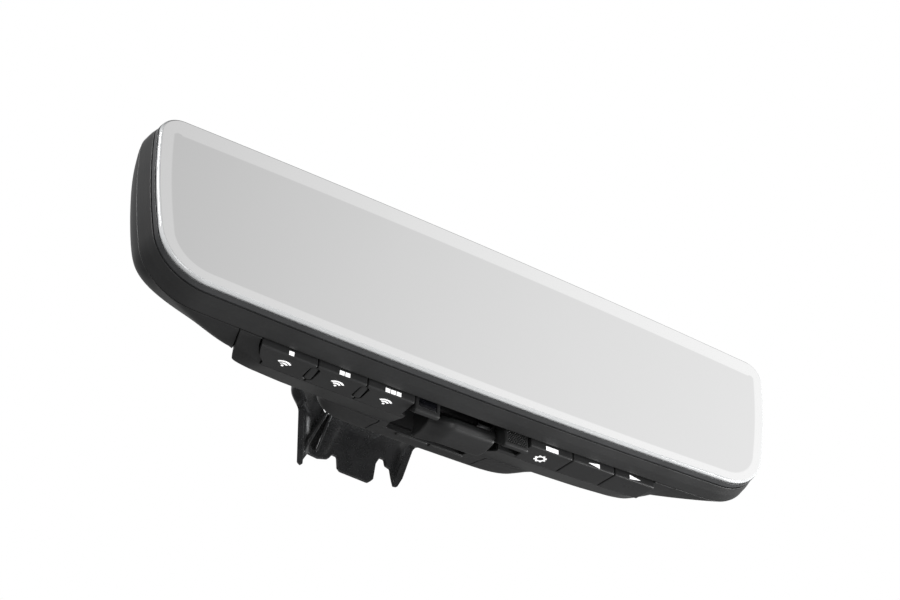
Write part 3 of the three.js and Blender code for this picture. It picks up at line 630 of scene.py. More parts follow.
@dataclass(frozen=True)
class GlossPlastic(Finish):
    """Smooth glossy plastic with a faint ripple and fine dust-like change of gloss."""

    ripple: float = 0.00002
    specular: float = 0.5

    def build(self) -> bpy.types.Material:
        """Make the material: long low waves and a fine cloud in the gloss."""
        nodes = NodeTree(self.name)
        nodes.surface(specular=self.specular, coat_weight=0.35, coat_roughness=0.08)
        waves = nodes.noise(190.0, 2.0)
        dust = nodes.noise(2600.0, 3.0)
        nodes.tint(waves, "Fac", self.shade(0.8), self.shade(1.2))
        nodes.gloss(dust, "Fac", self.roughness * 0.8, self.roughness * 1.25)
        nodes.relief([(waves, "Fac", self.ripple), (dust, "Fac", self.ripple * 0.1)], 0.0003)
        return nodes.material


@dataclass(frozen=True)
class BrushedMetal(Finish):
    """Metal with fine lines along one direction and a cloudy tone."""

    stretch: tuple[float, float, float] = (1.0, 30.0, 30.0)
    metallic: float = 1.0
    relief: float = 0.000006

    def build(self) -> bpy.types.Material:
        """Make the material: stretched noise gives the lines in tone, gloss and relief."""
        nodes = NodeTree(self.name)
        nodes.surface(metallic=self.metallic)
        mapping = nodes.add("ShaderNodeMapping")
        mapping.inputs["Scale"].default_value = self.stretch
        nodes.join(nodes.place, "Object", mapping, "Vector")
        lines = nodes.noise(170.0, 5.0, 0.7)
        nodes.join(mapping, "Vector", lines, "Vector")
        nodes.tint(lines, "Fac", self.shade(0.78), self.shade(1.12))
        nodes.gloss(lines, "Fac", self.roughness * 0.75, self.roughness * 1.3)
        nodes.relief([(lines, "Fac", self.relief)], 0.0002)
        return nodes.material


@dataclass(frozen=True)
class CastMetal(Finish):
    """Die-cast metal with a pebbled skin."""

    def build(self) -> bpy.types.Material:
        """Make the material: noise gives the skin, a larger noise gives a cloudy tone."""
        nodes = NodeTree(self.name)
        nodes.surface(metallic=0.9)
        skin = nodes.noise(1400.0, 4.0, 0.6)
        cloud = nodes.noise(120.0, 3.0)
        nodes.tint(cloud, "Fac", self.shade(0.72), self.shade(1.1))
        nodes.gloss(skin, "Fac", self.roughness * 0.8, self.roughness * 1.3)
        nodes.relief([(skin, "Fac", 0.00004)], 0.0004)
        return nodes.material


@dataclass(frozen=True)
class CircuitBoard(Finish):
    """Solder resist over copper tracks: a grid of cells picks tracks, pads and bare resist."""

    pitch: float = 0.0021

    def build(self) -> bpy.types.Material:
        """Make the material: Manhattan cells draw tracks that stand up a little."""
        nodes = NodeTree(self.name)
        nodes.surface(specular=0.5, coat_weight=0.4, coat_roughness=0.2)
        tracks = nodes.add("ShaderNodeTexVoronoi", distance="CHEBYCHEV")
        tracks.inputs["Scale"].default_value = 1 / self.pitch
        nodes.join(nodes.place, "Object", tracks, "Vector")
        nodes.tint(tracks, "Distance", self.shade(0.55), self.shade(1.5))
        nodes.gloss(tracks, "Distance", self.roughness * 0.7, self.roughness * 1.3)
        nodes.relief([(tracks, "Distance", 0.00003)])
        return nodes.material


@dataclass(frozen=True)
class DarkLens(Finish):
    """Tinted clear plastic over a dark pocket, seen as a deep gloss with a hint of depth."""

    def build(self) -> bpy.types.Material:
        """Make the material: a deep tone under a clear coat with a barely uneven surface."""
        nodes = NodeTree(self.name)
        nodes.surface(specular=0.6, coat_weight=1.0, coat_roughness=0.03)
        depth = nodes.noise(420.0, 2.0)
        nodes.tint(depth, "Fac", self.shade(0.6), self.shade(1.5))
        nodes.gloss(depth, "Fac", self.roughness * 0.8, self.roughness * 1.2)
        nodes.relief([(depth, "Fac", 0.000012)], 0.0002)
        return nodes.material


@dataclass(frozen=True)
class PrintedInkWithPaintedGlow(Finish):
    """Matt ink, a little uneven where it was pressed, with a painted white glow: it gives off
    light of its own though it is no lamp.
    """

    def build(self) -> bpy.types.Material:
        """Make the material: a painted glow from white emission, and noise gives thin places and a
        dry surface.
        """
        nodes = NodeTree(self.name)
        # painted glow: white emission makes the marks brighter than the lamps light them
        nodes.surface(specular=0.3, emission_color=(1.0, 1.0, 1.0, 1.0), emission_strength=0.6)
        press = nodes.noise(2400.0, 3.0)
        nodes.tint(press, "Fac", self.shade(0.9), self.shade(1.05))
        nodes.gloss(press, "Fac", self.roughness * 0.9, self.roughness * 1.1)
        nodes.relief([(press, "Fac", 0.000008)])
        return nodes.material


@dataclass(frozen=True)
class MirrorCoat(Finish):
    """Reflecting coat behind the front plate: a bright border round a slightly darker window.

    The vertex attribute "border" is 1 in the border and 0 in the window.
    """

    window: tuple[float, float, float] = (0.745, 0.745, 0.745)

    def build(self) -> bpy.types.Material:
        """Make the material: the attribute mixes the tones, noise adds a trace of haze."""
        nodes = NodeTree(self.name)
        nodes.surface(metallic=1.0)
        border = nodes.add("ShaderNodeAttribute", attribute_name="border")
        haze = nodes.noise(34.0, 2.0)
        mix = nodes.add("ShaderNodeMix", data_type="RGBA")
        mix.inputs["A"].default_value = (*self.window, 1.0)
        mix.inputs["B"].default_value = (*self.tone, 1.0)
        nodes.join(border, "Fac", mix, "Factor")
        veil = nodes.add("ShaderNodeMix", data_type="RGBA", blend_type="MULTIPLY")
        veil.inputs["Factor"].default_value = 1.0
        shade = nodes.add("ShaderNodeValToRGB")
        shade.color_ramp.elements[0].color = (0.985, 0.985, 0.985, 1.0)
        shade.color_ramp.elements[1].color = (1.0, 1.0, 1.0, 1.0)
        nodes.join(haze, "Fac", shade, "Fac")
        nodes.tree.links.new(mix.outputs["Result"], veil.inputs["A"])
        nodes.join(shade, "Color", veil, "B")
        nodes.tree.links.new(veil.outputs["Result"], nodes.shader.inputs["Base Color"])
        rough = nodes.add("ShaderNodeMapRange")
        rough.inputs["To Min"].default_value = self.roughness
        rough.inputs["To Max"].default_value = self.roughness * 3
        nodes.join(border, "Fac", rough, "Value")
        nodes.join(rough, "Result", nodes.shader, "Roughness")
        return nodes.material


@dataclass(frozen=True)
class ClearEdge(Finish):
    """Ground edge of the glass plate with painted light and shade: painted pale along the lower
    edge, where light from below would fall, and painted dark along the top.

    The vertex attribute "rim" is 1 along the lower edge and 0 along the upper edge, and places the
    painted light and shade.
    """

    # painted shade: the tone along the top of the glass edge
    dark: tuple[float, float, float] = (0.03, 0.032, 0.034)

    def build(self) -> bpy.types.Material:
        """Make the material: the attribute mixes a painted shade tone and a painted light tone
        under a fine ground texture.
        """
        nodes = NodeTree(self.name)
        nodes.surface(specular=0.5, coat_weight=0.6, coat_roughness=0.06)
        rim = nodes.add("ShaderNodeAttribute", attribute_name="rim")
        # painted light and shade: dark at the top of the edge, the finish's pale tone along its
        # lower side
        ramp = nodes.tint(rim, "Fac", self.dark, self.tone)
        ramp.color_ramp.elements[0].position = 0.1
        ramp.color_ramp.elements[1].position = 0.6
        ground = nodes.noise(1900.0, 2.0)
        nodes.gloss(ground, "Fac", self.roughness * 0.8, self.roughness * 1.2)
        nodes.relief([(ground, "Fac", 0.000004)])
        return nodes.material


CASING = MouldedPlastic("casing_plastic", (0.025, 0.0252, 0.0256), 0.4, 0.00045, 0.000016)
KEYCAP = MouldedPlastic("keycap_plastic", (0.025, 0.0252, 0.0256), 0.36, 0.0004, 0.000011)
LIP = MouldedPlastic("lip_plastic", (0.055, 0.056, 0.058), 0.26, 0.0003, 0.000004, 0.55, 0.0002)
INNER = MouldedPlastic("inner_plastic", (0.012, 0.012, 0.013), 0.5)
GLOSS = GlossPlastic("gloss_black", (0.019, 0.0193, 0.02), 0.22)
MIRROR = MirrorCoat("mirror_coat", (0.87, 0.87, 0.87), 0.02)
# glass edge: its tone is painted light along the lower edge, ClearEdge.dark is painted shade along
# the top
EDGE = ClearEdge("glass_edge_painted_light", (0.62, 0.63, 0.635), 0.12)
REAR_GLASS = DarkLens("rear_glass_tint", (0.05, 0.055, 0.06), 0.06)
LENS = DarkLens("dark_lens", (0.006, 0.0062, 0.008), 0.07)
PANEL = DarkLens("display_panel", (0.02, 0.022, 0.03), 0.12)
STEEL = BrushedMetal("zinc_steel", (0.55, 0.56, 0.57), 0.32)
BRIGHT = BrushedMetal("bright_steel", (0.8, 0.81, 0.82), 0.16)
ALUMINIUM = CastMetal("cast_aluminium", (0.56, 0.57, 0.58), 0.42)
BOARD = CircuitBoard("circuit_board", (0.02, 0.09, 0.045), 0.35)
NYLON = MouldedPlastic("nylon", (0.72, 0.69, 0.61), 0.48, 0.0009, 0.00001, 0.4)
DIFFUSER = MouldedPlastic("diffuser", (0.85, 0.86, 0.85), 0.6, 0.0006, 0.00001, 0.3)
# printed marks: real white ink, with a painted glow
INK_WITH_PAINTED_GLOW = PrintedInkWithPaintedGlow("white_ink_painted_glow", (0.9, 0.9, 0.9), 0.6)


class Palette:
    """Materials made once and handed to the pieces that share them."""

    def __init__(self) -> None:
        """Start with no materials."""
        self.made: dict[str, bpy.types.Material] = {}

    def get(self, finish: Finish) -> bpy.types.Material:
        """The material of a finish, made the first time it is asked for."""
        if finish.name not in self.made:
            self.made[finish.name] = finish.build()
        return self.made[finish.name]


PALETTE = Palette()


def dress(piece: bpy.types.Object, *finishes: Finish, smooth: float = 32.0) -> None:
    """Give a new piece its materials and smooth shading with sharp edges past an angle.

    Args:
        piece: the object.
        finishes: its finishes, in the order of its material slots.
        smooth: the largest angle in degrees that is shaded smooth.
    """
    piece.data.materials.clear()
    for finish in finishes:
        piece.data.materials.append(PALETTE.get(finish))
    if len(finishes) == 1:
        piece.data.polygons.foreach_set("material_index", [0] * len(piece.data.polygons))
    piece.data.polygons.foreach_set("use_smooth", [True] * len(piece.data.polygons))
    piece.data.set_sharp_from_angle(angle=math.radians(smooth))
    piece.data.update()


def settle(piece: bpy.types.Object, body: str, slot: str, *nodes: str) -> None:
    """Tie a finished piece to its CAD body and hide the nodes it stands for."""
    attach(piece, body)
    if nodes:
        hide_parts(*nodes)
    LOG.info("%-22s %-14s %7d faces", piece.name, body, len(piece.data.polygons))


def polygon(pairs: Sequence[tuple[float, float]], radius: float = 0.3, steps: int = 4) -> Array:
    """Outline through plain corners, all rounded by one radius."""
    return soften([(a, b, radius) for a, b in pairs], steps)


# ---- glass and its frames -----------------------------------------------------------------------
@dataclass
class GlassUnit:
    """Front plate with its bright border, and the border strip behind it; the rear plate keeps its
    CAD shape.
    """

    front: float = -1.6
    edge_offset: float = 0.2
    bright_side: float = 4.6
    bright_lean: float = 1.65
    bright_bow: float = 0.6
    blur: float = 0.3
    edge_width: float = 1.0
    edge_depth: float = 1.1
    flats: tuple = (0.8, 0.06)
    back: tuple = ((-0.02, -0.05), (-0.1, 0.1), (-0.1, 0.4))
    ring: tuple = ((-0.7, 0.55, 0.1), (-0.7, 0.8, 0.1), (-5.4, 0.8, 0.1), (-5.4, 0.55, 0.1))

    def border_inset(self, out: Array) -> Array:
        """Width of the bright border, by the height part of the outward direction."""
        return self.bright_side + self.bright_lean * out[:, 1] + self.bright_bow * out[:, 1] ** 2

    def front_plate(self) -> bpy.types.Object:
        """Front plate: rings go from the window out over the border, the round edge and back.

        The edge is a quarter ellipse of the edge's width and depth, then runs back to the rear.
        """
        base, out = OUTLINE.points()
        inner = self.border_inset(out)
        angle = np.linspace(0, math.pi / 2, 9)
        start = self.edge_offset - self.edge_width
        flat = [start - reach for reach in self.flats]
        curve_depth = self.front + self.edge_depth * (1 - np.cos(angle))
        insets = [-(inner + self.blur), -(inner - self.blur)]
        insets += [0 * inner + o for o in (*flat, *(start + self.edge_width * np.sin(angle)),
                                           *(offset for offset, _ in self.back))]
        depths = [self.front] * 4 + list(curve_depth) + [depth for _, depth in self.back]
        rings = []
        for offset, depth in zip(insets, depths):
            plan = base + out * offset[:, None]
            rings.append(np.stack([plan[:, 0], np.full(len(plan), depth), plan[:, 1]], axis=-1))
        plate = loft("mirror_glass", np.array(rings), HEAD)
        self.mark_border(plate)
        return plate

    def mark_border(self, plate: bpy.types.Object) -> None:
        """Store the border attribute and the rim attribute, which places the glass edge's painted
        light and shade, and give the round edge the second material.
        """
        mesh = plate.data
        place = np.empty(len(mesh.vertices) * 3)
        mesh.vertices.foreach_get("co", place)
        local = (place.reshape(-1, 3) - np.array(HEAD.origin)) / MM
        base, out = OUTLINE.points()
        gap = local[:, None, ::2] - base[None]
        nearest = np.argmin((gap ** 2).sum(axis=2), axis=1)
        inset = -((local[:, ::2] - base[nearest]) * out[nearest]).sum(axis=1)
        border = (inset < self.border_inset(out)[nearest]).astype(float)
        layer = mesh.attributes.new("border", "FLOAT", "POINT")
        layer.data.foreach_set("value", border)
        # rim: 1 on the lower edge for painted light, 0 on the top for painted shade
        rim = mesh.attributes.new("rim", "FLOAT", "POINT")
        rim.data.foreach_set("value", 0.5 - out[nearest][:, 1] / 2)
        centre = np.empty(len(mesh.polygons) * 3)
        mesh.polygons.foreach_get("center", centre)
        depth = (centre.reshape(-1, 3)[:, 1] - HEAD.origin[1]) / MM
        mesh.polygons.foreach_set("material_index",
                                  (depth > self.front + 0.02).astype(np.int32))

    def build(self) -> None:
        """Make and dress the glass pieces."""
        plate = self.front_plate()
        index = np.empty(len(plate.data.polygons), np.int32)
        plate.data.polygons.foreach_get("material_index", index)
        # the edge's material carries painted light and shade
        dress(plate, MIRROR, EDGE)
        plate.data.polygons.foreach_set("material_index", index)
        settle(plate, "head", "mirror", "front_glass")
        strip = surround("border_strip", soften(self.ring, 3))
        dress(strip, BRIGHT)
        settle(strip, "head", "bright_ring", "perimeter_ring")


@dataclass
class FrontCasing:
    """Lip that holds the glass, and the front frame behind it."""

    lip: tuple = ((0.16, 0.2, 0.08), (0.4, -0.05, 0.12), (0.7, 2.0, 0.14), (0.34, 2.12, 0.05),
                  (0.3, 4.2, 0.05), (-2.4, 4.2, 0.1), (-2.4, 2.5, 0.1), (0.15, 2.5, 0.1))
    frame: tuple = ((0.62, 2.66, 0.08), (0.86, 2.66, 0.14), (1.88, 5.9, 4.0), (2.64, 9.78, 0.28),
                    (0.9, 9.78, 0.1), (0.62, 6.0, 0.5))

    def build(self) -> None:
        """Make and dress the lip and the frame."""
        lip = surround("glass_lip", soften(self.lip, 5))
        dress(lip, LIP)
        settle(lip, "head", "lip", "glass_bezel")
        frame_piece = surround("front_frame_shell", soften(self.frame, 7))
        dress(frame_piece, CASING)
        settle(frame_piece, "head", "casing", "front_frame")


# ---- the head's shell ---------------------------------------------------------------------------
@dataclass
class ShellForm:
    """Form of the rear housing: a rounded oblong at each depth, with a boss behind the socket."""

    front_y: float = 10.15
    back_y: float = 47.0
    shoulder_y: float = 31.2
    round_end: float = 17.0
    side_centre: float = 12.4
    dome_half: float = 107.4
    turn_y: float = 38.0
    rise: float = 0.25
    boss_rear: float = 50.8
    boss_top: float = 23.0
    boss_bottom: float = -24.2
    boss_half: float = 38.5
    boss_front_half: float = 48.0
    front_offset: float = 2.64
    fillet: float = 3.0

    def slice(self, y: Array) -> tuple[Array, Array, Array]:
        """Half-width, underside and squareness of the dome at each depth.

        The width follows a quarter round at the ends and then a parabola to the back; the
        underside rises evenly and then turns up; the power falls from square to round.
        """
        t = y - self.front_y
        at_front = OUTLINE.half_width + self.front_offset + 0.53 - self.round_end
        end = np.sqrt(np.clip(self.round_end ** 2 - (y - self.side_centre) ** 2, 0, None))
        back = np.clip((self.back_y - y) / (self.back_y - self.shoulder_y), 0, None)
        half = np.where(y < self.shoulder_y, at_front + end, self.dome_half * np.sqrt(back))
        flat = OUTLINE.height / 2 + self.front_offset - self.rise * t
        past = np.clip((y - self.turn_y) / (self.back_y - self.turn_y), 0, 1)
        turned_up = (flat + self.rise * (y - self.turn_y)) * np.sqrt(1 - past ** 2.2)
        height = np.where(y < self.turn_y, flat, turned_up)
        power = 2.4 + 5.6 * np.exp(-t / 11) + 1.2 * np.clip(1 - t / 30, 0, None)
        return half, height, power

    def dome_reach(self, angle: Array, y: Array, inset: float) -> Array:
        """Distance from the middle to the dome's skin in each direction at each depth."""
        half, height, power = self.slice(y + inset)
        half, height = np.clip(half - inset, 0.5, None), np.clip(height - inset, 0.5, None)
        across = np.abs(np.cos(angle) / half) ** power
        upward = np.abs(np.sin(angle) / height) ** power
        return (across + upward) ** (-1 / power)

    def boss_reach(self, angle: Array, y: Array, inset: float) -> Array:
        """Distance from the middle to the boss's skin: a soft rectangle that narrows rearwards.

        Its rim towards the rear is a quarter round of 5 mm at the sides and 2 mm above.
        """
        rear = self.boss_rear - inset
        left = np.clip((y - 34) / (rear - 34), 0, 1)
        past = np.clip((y - (rear - 5)) / 5, 0, 1)
        rim = 1 - np.sqrt(np.clip(1 - past ** 2, 0, 1))
        half = self.boss_front_half + (self.boss_half + 1.4 - self.boss_front_half) * left
        half = half - inset - 5.0 * rim
        top = self.boss_top + 5 * (1 - left) - inset - 2.6 * rim
        bottom = -(self.boss_bottom - 4.2 * (1 - left)) - inset - 1.4 * rim
        tall = np.where(np.sin(angle) > 0, top, bottom)
        power = 9.0
        across = np.abs(np.cos(angle) / half) ** power
        upward = np.abs(np.sin(angle) / tall) ** power
        grown = (across + upward) ** (-1 / power)
        return np.where((y > 30) & (y <= rear + 1e-6), grown, 0.0)

    def ring(self, y: float, inset: float, density: float) -> Array:
        """Ring of the shell at one depth: the frame's rear outline scaled along each direction."""
        base, _ = OUTLINE.points(self.front_offset - 0.15, density)
        angle = np.arctan2(base[:, 1], base[:, 0])
        depth = np.full(len(base), y)
        front = self.dome_reach(angle, np.full(len(base), self.front_y), 0.0)
        size = np.hypot(base[:, 0], base[:, 1]) / front
        dome = self.dome_reach(angle, depth, inset) * size
        dome = np.where(depth > self.back_y - inset - 0.4, 0.0, dome)
        boss = self.boss_reach(angle, depth, inset)
        soft = 0.01 + self.fillet * np.clip((depth - 32) / 8, 0, 1)
        share = np.clip(0.5 + (boss - dome) / soft / 2, 0, 1)
        both = dome * (1 - share) + boss * share + soft * share * (1 - share)
        reach = np.where(boss > 0, both, dome)
        return np.stack([reach * np.cos(angle), depth, reach * np.sin(angle)], axis=1)

    def depths(self, inset: float) -> Array:
        """Depths of the rings, closer together where the skin turns."""
        end = self.boss_rear - inset
        turning = end - 5 + 5 * np.sin(np.linspace(0, math.pi / 2, 9))
        front = [self.front_y, self.front_y + 0.12, self.front_y + 0.45]
        return np.concatenate([front, np.arange(11.5, 30, 1.0), np.arange(30.2, end - 5.2, 0.7),
                               turning[1:]])

    def solid(self, name: str, wall: float) -> bpy.types.Object:
        """Hollow shell, open to the front, as one closed body with a wall of even thickness."""
        outer = [self.ring(y, 0.0, 1.3) for y in self.depths(0.0)]
        outer[0] = outer[0] * (0.9985, 1, 0.995)
        inner = [self.ring(y, wall, 1.3) for y in self.depths(wall)]
        inner[0][:, 1] = self.front_y
        rings = np.array(inner[::-1] + outer)
        return loft(name, rings, HEAD)


FORM = ShellForm()


TRIM_GAP = 0.18     # half the seam between the trim and the rear housing
TRIM_TOP = -19.0    # height up to which the trim reaches into the shell's wall


def trim_plan(grow: float) -> Array:
    """Plan outline of the lower trim, grown or shrunk all round."""
    right = [(21.4 + grow, 48.6 + grow, 0.6), (21.4 + grow, 37 + grow, 0.5),
             (60, 35.6 + grow, 30.0), (78.5 + grow, 32 + grow, 3.0), (80 + grow, 27.5, 3.0),
             (84.6 + grow, 9, 0.2)]
    left = [(-x, y, r) for x, y, r in right[::-1]]
    return soften(right + left, 6)


def underside_lift(x: Array) -> Array:
    """How far the underside rises towards the ends: x squared over 5500."""
    return x ** 2 / 5500.0


@dataclass
class FormedUnderside:
    """Deeper part of the head's underside, behind and beside the keys."""

    underside: float = -34.3
    key_rear: float = 20.95
    drop: float = 2.2
    slope: float = 0.1
    rear: float = 36.9
    half: float = 85.5
    fade: float = 15.0
    front: float = 10.3
    body: float = 1.3

    def shell(self, x: Array, y: Array) -> Array:
        """Height of the shell's own underside, which rises evenly to the rear."""
        return self.underside + FORM.rise * (y - 10) + underside_lift(x)

    def level(self, x: Array, y: Array) -> Array:
        """Height of the formed underside.

        From the front edge it falls in a smooth step to the keys' rear edge, then rises in a
        straight line to the shell's plane; towards the ends it fades into the shell.
        """
        front = self.underside - self.drop + self.slope * (self.key_rear - 12.4)
        part = np.clip((y - self.front) / (self.key_rear - self.front), 0, 1)
        ahead = self.underside + (front - self.underside) * part ** 2 * (3 - 2 * part)
        reach = (y - self.key_rear) / (self.rear - self.key_rear)
        behind = front + (self.underside + FORM.rise * (self.rear - 10) - front) * reach
        formed = np.where(y < self.key_rear, ahead, behind) + underside_lift(x)
        share = np.clip((self.half - np.abs(x)) / self.fade, 0, 1)
        share = share ** 2 * (3 - 2 * share)
        return self.shell(x, y) * (1 - share) + formed * share + 0.1

    def slab(self, name: str) -> bpy.types.Object:
        """Slab that stands up into the shell's wall, with the formed level as its lower side."""
        x = np.linspace(-86.5, 86.5, 174)[:, None]
        y = np.concatenate([np.linspace(10.2, 20.9, 14), np.linspace(21.2, 41, 22)])[None]
        below = self.level(x, y)
        above = np.maximum(self.shell(x, y) + self.body, below + 0.4)
        return loft(name, stacked(x, y, below, above), HEAD)


UNDERSIDE = FormedUnderside()


@dataclass
class RearHousing:
    """Rear shell with the ball opening, cooling slots and the connector and lens openings."""

    wall: float = 2.2
    gap: float = 0.3
    lens_half: float = 4.3
    ball_z: float = 4.0
    slot_x: tuple = (86.0, 91.0, 96.0)
    slot_half: tuple = (1.2, 8.0)
    slot_z: float = 5.0
    neck: tuple = ((AXIS, 44, 0.01), (12, 44, 0.1), (12, 48.2, 1.5), (14.6, 53, 0.1),
                   (AXIS, 53, 0.01))

    def opening(self) -> bpy.types.Object:
        """Flared opening round the ball's neck, with a rounded lip."""
        return turned("opening", soften(self.neck, 6), (0, 0, self.ball_z), HEAD)

    def build(self) -> None:
        """Make and dress the rear housing."""
        shell = FORM.solid("rear_shell", self.wall)
        trim_area = prism("trim_area", trim_plan(TRIM_GAP), CUT_LOW, TRIM_TOP, HEAD,
                          Along.HEIGHT)
        plug, plug_half = HEAD.middle("harness_connector")
        plug_half = plug_half + self.gap
        eye, _ = HEAD.middle("forward_light_lens")
        cuts = [prism("plug_cut", oblong(plug_half[0], plug_half[2], 1.5, (plug[0], plug[2])),
                      30, 60, HEAD),
                prism("lens_cut", disc(self.lens_half, (eye[0], eye[2]), 12), 30, 60, HEAD)]
        wide, tall = self.slot_half
        for side in (-1, 1):
            for x in self.slot_x:
                outline = oblong(wide, tall, wide - 0.01, (side * x, self.slot_z))
                cuts.append(prism("slot", outline, 20, 60, HEAD))
        combine(shell, [trim_area])
        combine(shell, [self.opening()])
        combine(shell, [merge("cuts", cuts)])
        dress(shell, CASING)
        settle(shell, "head", "casing", "rear_housing")


@dataclass
class LowerTrim:
    """Underside panel: the shell's underside, an apron behind the keys, and the lever's bay."""

    wall: float = 2.2
    bay_wall_thickness: float = 1.6
    key_gap: float = 0.3
    bay: tuple = ((-22.6, 8.0, 0.1), (-20.6, 22.0, 2.0), (-17.4, 40.4, 1.2), (13.8, 41.2, 1.2),
                  (15.6, 22.0, 2.0), (15.2, 8.0, 0.1))

    def ledge(self, first: float, last: float) -> bpy.types.Object:
        """Raised bar along the rear rim of the lever's bay."""
        section = polygon([(41.6, -27.2), (43.6, -26.7), (43.6, -25.2), (41.6, -25.2)], 0.35, 5)
        return carried("ledge", section, (first, last), HEAD, 0.35)

    def bay_wall(self) -> bpy.types.Object:
        """Wall round the lever's bay: the bay's outline, thickened, rising into the head."""
        thick = self.bay_wall_thickness
        outside = prism("bay_outside", soften([(x * 1.08, y + (thick if y > 20 else 0), r + 0.5)
                                               for x, y, r in self.bay], 5),
                        -38, -14, HEAD, Along.HEIGHT)
        inside = prism("bay_inside", soften(self.bay, 5), -40, -15.5, HEAD, Along.HEIGHT)
        front = prism("bay_front", polygon([(-40, 0), (40, 0), (40, 20.2), (-40, 20.2)], 0.1),
                      -60, 0, HEAD, Along.HEIGHT)
        x, y = np.linspace(-40, 40, 41)[:, None], np.linspace(0, 60, 61)[None]
        above = loft("above", stacked(x, y, UNDERSIDE.level(x, y) + 0.5, -8.0), HEAD)
        wall = combine(combine(outside, [inside]), [front])
        return combine(wall, [above], Joining.KEEP)

    def build(self) -> None:
        """Make and dress the trim."""
        shell = FORM.solid("underside_panel", self.wall)
        area = prism("trim_area", trim_plan(-TRIM_GAP), CUT_LOW, TRIM_TOP, HEAD, Along.HEIGHT)
        combine(shell, [area], Joining.KEEP)
        plan = prism("apron_area", trim_plan(-TRIM_GAP), CUT_LOW, -10, HEAD, Along.HEIGHT)
        apron = combine(UNDERSIDE.slab("apron"), [plan], Joining.KEEP)
        combine(shell, [apron], Joining.ADD)
        left = (HEAD.box("home_key_1")[0][0], HEAD.box("home_key_3")[1][0])
        right = (HEAD.box("menu_key")[0][0], HEAD.box("right_key")[1][0])
        cuts, gap, rear = [], self.key_gap, UNDERSIDE.key_rear
        for low, high in (left, right):
            cuts.append(soften([(low - gap, 5, 0.1), (high + gap, 5, 0.1),
                                (high + gap, rear, 3.6), (low - gap, rear, 3.6)], 6))
        cuts.append(polygon([(left[1], 5), (right[0], 5), (right[0], 19.7), (left[1], 19.7)],
                            0.6))
        cuts.append(soften(self.bay, 5))
        for outline in cuts:
            hole = prism("opening", outline, CUT_LOW, CUT_HIGH, HEAD, Along.HEIGHT)
            if outline is cuts[0]:
                keep = prism("keep", Key.left_slot(left[0], 0.42, -90), -61, -19, HEAD,
                             Along.HEIGHT)
                combine(hole, [keep])
            combine(shell, [hole])
        panel = merge("underside_trim", [shell, self.bay_wall(), self.ledge(-12.0, 0.2),
                                         self.ledge(1.2, 14.9)])
        dress(panel, CASING)
        settle(panel, "head", "casing", "lower_trim")


# ---- keys ---------------------------------------------------------------------------------------
class Mark(Enum):
    """Printed mark on a key."""

    ONE = 1
    TWO = 2
    THREE = 3
    MENU = 4
    LEFT = 5
    RIGHT = 6


def signal_icon(scale: float) -> list[Array]:
    """Generic radio mark: a dot under two arcs, as closed outlines about zero."""
    dot = oblong(0.32 * scale, 0.32 * scale, 0.31 * scale, (0, -0.9 * scale))
    outlines = [dot]
    for radius in (1.1, 2.0):
        angle = np.radians(np.linspace(38, 142, 14))
        ring = np.stack([np.cos(angle), np.sin(angle)], axis=1)
        centre = np.array([0.0, -0.9])
        outlines.append(np.concatenate([centre + ring * (radius + 0.26),
                                        centre + ring[::-1] * (radius - 0.26)]) * scale)
    return outlines


def gear_icon(scale: float) -> list[Array]:
    """Gear mark: a ring whose outer radius swells at eight teeth, cut open by a thin slit."""
    angle = np.linspace(0.02, 2 * math.pi - 0.02, 97)
    teeth = 1.0 + 0.13 * np.tanh(4 * np.sin(8 * angle))
    outer = np.stack([np.cos(angle), np.sin(angle)], axis=1) * (1.45 * teeth)[:, None]
    inner = np.stack([np.cos(angle), np.sin(angle)], axis=1)[::-1] * 0.88
    return [np.concatenate([outer, inner]) * scale]


